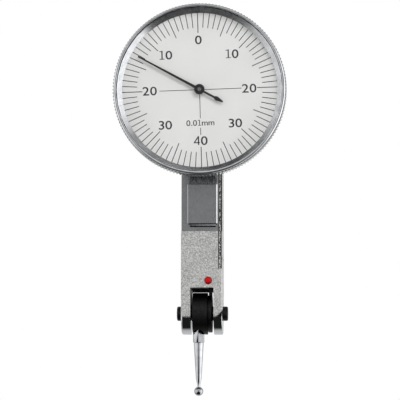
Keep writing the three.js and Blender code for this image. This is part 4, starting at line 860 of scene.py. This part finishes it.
FIGURES_MM = {
    "0": [(0.03, 11.23)], "10": [(-7.32, 8.05), (7.43, 7.81)],
    "20": [(-11.1, 0.12), (11.0, -0.04)], "30": [(-7.79, -7.62), (7.73, -7.67)],
    "40": [(-0.06, -11.36)],
}
UNIT_HEIGHT = 1.3 * MM
UNIT_STRETCH = 1.08
UNIT_PLACE_MM = (-0.02, -7.37)
STROKE_SHARE = 0.008
GLYPH_STEPS = 5
# Figures of straight strokes: start, end and width in shares of the figure's height.
BAR_FIGURES = {
    "1": [((0, 0), (0, 1), 0.14), ((-0.28, 0.04), (0.28, 0.04), 0.08),
          ((0.07, 0.96), (-0.3, 0.896), 0.08)],
    "4": [((0.53, 0), (0.53, 1), 0.14), ((0, 0.27), (0.68, 0.27), 0.11),
          ((0.04, 0.26), (0.51, 0.95), 0.12)],
}
plate_low, plate_high = corners("dial_plate")
plate_radius = (plate_high.x - plate_low.x) / 2

# Matt white paint: a quiet white without a mirror image.
paint, tree = new_material("matt_white_paint")
point = object_point(tree, DIAL)
speck = add(tree, "ShaderNodeTexNoise", {"Vector": point, "Scale": 1 / (PAINT_SPECK_MM * MM)})
cloud = add(tree, "ShaderNodeTexNoise", {"Vector": point, "Scale": 1 / (PAINT_CLOUD_MM * MM)})
tone = add(tree, "ShaderNodeMapRange", {0: cloud, 1: 0.3, 2: 0.7})
shader = add(tree, "ShaderNodeBsdfPrincipled", {
    "Base Color": add(tree, "ShaderNodeMix", {
        0: tone, 6: colour(PAINT_WHITES[0]), 7: colour(PAINT_WHITES[1])}, data_type="RGBA"),
    "Roughness": add(tree, "ShaderNodeMapRange", {0: speck, 1: 0.3, 2: 0.7, 3: 0.5, 4: 0.62}),
    "Normal": add(tree, "ShaderNodeBump", {
        "Height": speck, "Strength": 0.08, "Distance": PAINT_DEPTH})})
add(tree, "ShaderNodeOutputMaterial", {"Surface": shader})
dial = turned("dial_face", [
    (DIAL_HOLE, plate_high.y), (plate_radius, plate_high.y), (plate_radius, plate_low.y),
    (DIAL_HOLE, plate_low.y)], "Y", dial_axis, paint, DIAL_SIDES)
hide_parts("dial_plate")
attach(dial, "bezel_assembly")

# Printing ink: a matt dark grey that is a little uneven.
ink, tree = new_material("printing_ink")
wear = add(tree, "ShaderNodeTexNoise", {
    "Vector": object_point(tree, DIAL), "Scale": 1 / (INK_WEAR_MM * MM)})
tone = add(tree, "ShaderNodeMapRange", {0: wear, 1: 0.35, 2: 0.65})
shader = add(tree, "ShaderNodeBsdfPrincipled", {
    "Base Color": add(tree, "ShaderNodeMix", {
        0: tone, 6: colour(INK_GREYS[0]), 7: colour(INK_GREYS[1])}, data_type="RGBA"),
    "Roughness": 0.55})
add(tree, "ShaderNodeOutputMaterial", {"Surface": shader})


def on_dial(turn=0.0):
    """From print drawn flat, x to the right and y up, to its place on the turned dial."""
    upright = Matrix.Rotation(math.radians(90), 4, "X")
    spin = Matrix.Rotation(-turn - DIAL_TURN, 4, "Y")
    raised = Matrix.Translation((0, 0, PRINT_HEIGHT / 2))
    return Matrix.Translation((DIAL.x, plate_low.y, DIAL.z)) @ spin @ upright @ raised


def bar(bm, start, end, width, place=Matrix()):
    """One printed line as a thin box, drawn flat from start to end and then put in place."""
    start, end = Vector(start).to_3d(), Vector(end).to_3d()
    lean = math.atan2(end.y - start.y, end.x - start.x)
    drawn = Matrix.Translation((start + end) / 2) @ Matrix.Rotation(
        lean, 4, "Z") @ Matrix.Diagonal(((end - start).length, width, PRINT_HEIGHT, 1))
    made = bmesh.ops.create_cube(bm, size=1)["verts"]
    bmesh.ops.transform(bm, matrix=place @ drawn, verts=made)


def glyph(character, size, stretch=1.0):
    """One printed character as a thin flat mesh, its foot on height 0."""
    curve = bpy.data.curves.new("glyph", "FONT")
    curve.body = character
    curve.size = size
    curve.offset = size * STROKE_SHARE
    curve.extrude = PRINT_HEIGHT / 2
    curve.resolution_u = GLYPH_STEPS
    drawn = bpy.data.objects.new("glyph", curve)
    scene.collection.objects.link(drawn)
    mesh = bpy.data.meshes.new_from_object(
        drawn.evaluated_get(bpy.context.evaluated_depsgraph_get()))
    bpy.data.objects.remove(drawn)
    mesh.transform(Matrix.Diagonal((stretch, 1, 1, 1)))
    return mesh


def bar_figure(height, strokes):
    """A figure of straight strokes as a thin flat mesh."""
    bm = bmesh.new()
    for start, end, width in strokes:
        bar(bm, Vector(start) * height, Vector(end) * height, width * height)
    mesh = bpy.data.meshes.new("bar_figure")
    bm.to_mesh(mesh)
    bm.free()
    return mesh


nought = glyph("0", 1.0)
nought_share = max(v.co.y for v in nought.vertices) - min(v.co.y for v in nought.vertices)


def lettering(name, text, height, place_mm, stretch):
    """Printed text, centred on a place in millimetres from the dial's centre."""
    bm = bmesh.new()
    cursor = 0.0
    for character in text:
        if character in BAR_FIGURES:
            mesh = bar_figure(height, BAR_FIGURES[character])
        else:
            mesh = glyph(character, height / nought_share, stretch)
        left = min(v.co.x for v in mesh.vertices)
        right = max(v.co.x for v in mesh.vertices)
        mesh.transform(Matrix.Translation((cursor - left, 0, 0)))
        bm.from_mesh(mesh)
        cursor += right - left + height * FIGURE_GAP_SHARE
    width = cursor - height * FIGURE_GAP_SHARE
    bmesh.ops.remove_doubles(bm, verts=bm.verts, dist=MERGE / 4)
    shift = Matrix.Translation((place_mm[0] * MM - width / 2, place_mm[1] * MM - height / 2, 0))
    bmesh.ops.transform(bm, matrix=on_dial() @ shift, verts=bm.verts)
    piece = from_bmesh(name, bm, ink)
    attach(piece, "bezel_assembly")


marks = bmesh.new()
for tick in range(TICKS):
    is_long = tick % TICKS_PER_LONG == 0
    bar(marks, (0, LONG_TICK_INNER if is_long else SHORT_TICK_INNER), (0, TICK_OUTER),
        LONG_TICK_WIDTH if is_long else SHORT_TICK_WIDTH, on_dial(tick * 2 * math.pi / TICKS))
for start, end in CROSS_LINES_MM:
    bar(marks, Vector(start) * MM, Vector(end) * MM, CROSS_WIDTH, on_dial())
ticks = from_bmesh("dial_ticks", marks, ink)
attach(ticks, "bezel_assembly")
for text, places in FIGURES_MM.items():
    for count, place in enumerate(places):
        lettering(f"figure_{text}_{count + 1}", text, FIGURE_HEIGHT, place, FIGURE_STRETCH)
lettering("figure_value", "0.01mm", UNIT_HEIGHT, UNIT_PLACE_MM, UNIT_STRETCH)

# Hand: a thin blackened strip that tapers to its tip, with a leaf shaped counterweight, pressed
# on a turned hub. The end of the steel arbor shows in the hub.
HAND_EDGE = 0.03 * MM
HAND_FLOW_MM = 0.3
HAND_BLACKS = ("#101011", "#1c1c1d")
HUB_BORE = 0.45 * MM
HUB_BOSS = 0.85 * MM
HUB_STEP = 0.3 * MM
HUB_EDGE = 0.08 * MM
HUB_SIDES = 64
# Black lacquer: a soft black with a low sheen.
hand_lacquer, tree = new_material("hand_lacquer")
flow = add(tree, "ShaderNodeTexNoise", {
    "Vector": object_point(tree, DIAL), "Scale": 1 / (HAND_FLOW_MM * MM)})
tone = add(tree, "ShaderNodeMapRange", {0: flow, 1: 0.3, 2: 0.7})
shader = add(tree, "ShaderNodeBsdfPrincipled", {
    "Base Color": add(tree, "ShaderNodeMix", {
        0: tone, 6: colour(HAND_BLACKS[0]), 7: colour(HAND_BLACKS[1])}, data_type="RGBA"),
    "Roughness": add(tree, "ShaderNodeMapRange", {0: flow, 1: 0.3, 2: 0.7, 3: 0.4, 4: 0.55}),
    "IOR": 1.45})
add(tree, "ShaderNodeOutputMaterial", {"Surface": shader})
hand = copied("hand_blade", "pointer_hand", hand_lacquer, "pointer")
rounded(hand, HAND_EDGE)
hub_low, hub_high = corners("pointer_hub")
hub_radius = (hub_high.x - hub_low.x) / 2
hub = turned("hand_hub", [
    (HUB_BORE, hub_low.y), (hub_radius, hub_low.y), (hub_radius, hub_low.y + HUB_STEP),
    (HUB_BOSS, hub_low.y + HUB_STEP), (HUB_BOSS, hub_high.y), (HUB_BORE, hub_high.y)],
    "Y", dial_axis, hand_lacquer, HUB_SIDES)
rounded(hub, HUB_EDGE)
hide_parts("pointer_hub")
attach(hub, "pointer")

# Dial case: a steel pan turned in one piece behind the bezel, with a groove for the spring ring
# that holds the bezel on. It is satin chromed, and four screws fix its floor to the body.
CASE_SIDES = 192
CASE_WALL = 1.1 * MM
CASE_BASE = 1.2 * MM
CASE_HOLE = 1.55 * MM
CASE_EDGE = 0.08 * MM
SPRING_WIRE = 0.35 * MM
SCREW_BORE = 0.45 * MM
STUD_BORE = 0.55 * MM
BORE_SIDES = 48
case_low, case_high = corners("dial_case")
case_radius = (case_high.x - case_low.x) / 2
case_inner = case_radius - CASE_WALL
case_floor = case_high.y - CASE_BASE
spring_y = (case_low.y + bezel_high.y) / 2
case = turned("case_pan", [
    (CASE_HOLE, case_high.y), (case_inner, case_high.y), (case_radius, case_high.y - CASE_WALL),
    (case_radius, spring_y + SPRING_WIRE), (case_radius - SPRING_WIRE, spring_y + SPRING_WIRE),
    (case_radius - SPRING_WIRE, spring_y - SPRING_WIRE), (case_radius, spring_y - SPRING_WIRE),
    (case_radius, case_low.y), (case_inner, case_low.y), (case_inner, case_floor),
    (CASE_HOLE, case_floor)], "Y", dial_axis, SATIN_CHROME, CASE_SIDES)
case_bores = [(f"dial_case_screw_{number}", SCREW_BORE) for number in (1, 2, 3, 4)]
for fastener, bore in case_bores + [("hairspring_stud", STUD_BORE)]:
    low, high = corners(fastener)
    middle = (low + high) / 2
    combine(case, turned_mesh([
        (0, case_floor - CUT_OVERRUN), (bore, case_floor - CUT_OVERRUN),
        (bore, case_high.y + CUT_OVERRUN), (0, case_high.y + CUT_OVERRUN)],
        "Y", Vector((middle.x, 0, middle.z)), BORE_SIDES))
rounded(case, CASE_EDGE)
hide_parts("dial_case")
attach(case, "root")

# Cock pillars: two turned steel posts that stand on the case's floor, bored for the screws that
# hold the bearing cock on their tops.
PILLAR_SIDES = 48
PILLAR_RADIUS = 1.5 * MM
PILLAR_GAP = 0.05 * MM
PILLAR_EDGE = 0.05 * MM
pillar_foot = case_floor + PILLAR_GAP
pillar_top = corners("bearing_cock")[1].y + PILLAR_GAP
for number in (1, 2):
    low, high = corners(f"bearing_cock_screw_{number}")
    middle = (low + high) / 2
    bore_end = high.y + PILLAR_GAP
    pillar = turned(f"cock_pillar_{number}", [
        (0, pillar_foot), (0, bore_end), (SCREW_BORE, bore_end), (SCREW_BORE, pillar_top),
        (PILLAR_RADIUS, pillar_top), (PILLAR_RADIUS, pillar_foot)],
        "Y", Vector((middle.x, 0, middle.z)), SATIN_CHROME, PILLAR_SIDES)
    rounded(pillar, PILLAR_EDGE)
    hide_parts("dial_case")
    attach(pillar, "root")

# Movement and small parts: brass wheels, plates and stud, bronze bushes, steel arbors and
# screws, blued springs and a rubber gasket. They stay as the frame has them.
RUBBER_BLACK = "#1c1c1c"
RUBBER_PORE_MM = 0.1
RUBBER_DEPTH = 0.02 * MM
# Turned brass: a warm yellow sheen.
BRASS = metal("turned_brass", "#c9a65a", "#b08c42", roughness=(0.22, 0.36), grain_mm=0.08,
              blotch_mm=1.0)
# Bearing bronze: browner and duller than the brass.
BRONZE = metal("bearing_bronze", "#a97a4b", "#8f6238", roughness=(0.25, 0.4), grain_mm=0.08,
               blotch_mm=0.8)
# Blued spring steel: a dark blue grey with narrow highlights.
BLUED_SPRING = metal("blued_spring_steel", "#5f6a80", "#4a5468", roughness=(0.15, 0.28),
                     grain_mm=0.06, blotch_mm=0.8)
# Gasket rubber: a dull black without highlights.
rubber, tree = new_material("gasket_rubber")
pore = add(tree, "ShaderNodeTexNoise", {
    "Vector": object_point(tree), "Scale": 1 / (RUBBER_PORE_MM * MM)})
shader = add(tree, "ShaderNodeBsdfPrincipled", {
    "Base Color": colour(RUBBER_BLACK),
    "Roughness": add(tree, "ShaderNodeMapRange", {0: pore, 1: 0.3, 2: 0.7, 3: 0.7, 4: 0.85}),
    "Normal": add(tree, "ShaderNodeBump", {
        "Height": pore, "Strength": 0.1, "Distance": RUBBER_DEPTH})})
add(tree, "ShaderNodeOutputMaterial", {"Surface": shader})
FINISHES = {
    "brass": BRASS, "bronze": BRONZE, "steel": SCREW_STEEL, "spring_steel": BLUED_SPRING,
    "gasket": rubber, "black_oxide": BLACK_STEEL, "carbide": CARBIDE,
}
slot_of = {part["node"]: part["material_slot"] for part in frame["record"]["subparts"]}
for name, node in frame["nodes"].items():
    if slot_of[name] in FINISHES:
        node.data.materials.clear()
        node.data.materials.append(FINISHES[slot_of[name]])
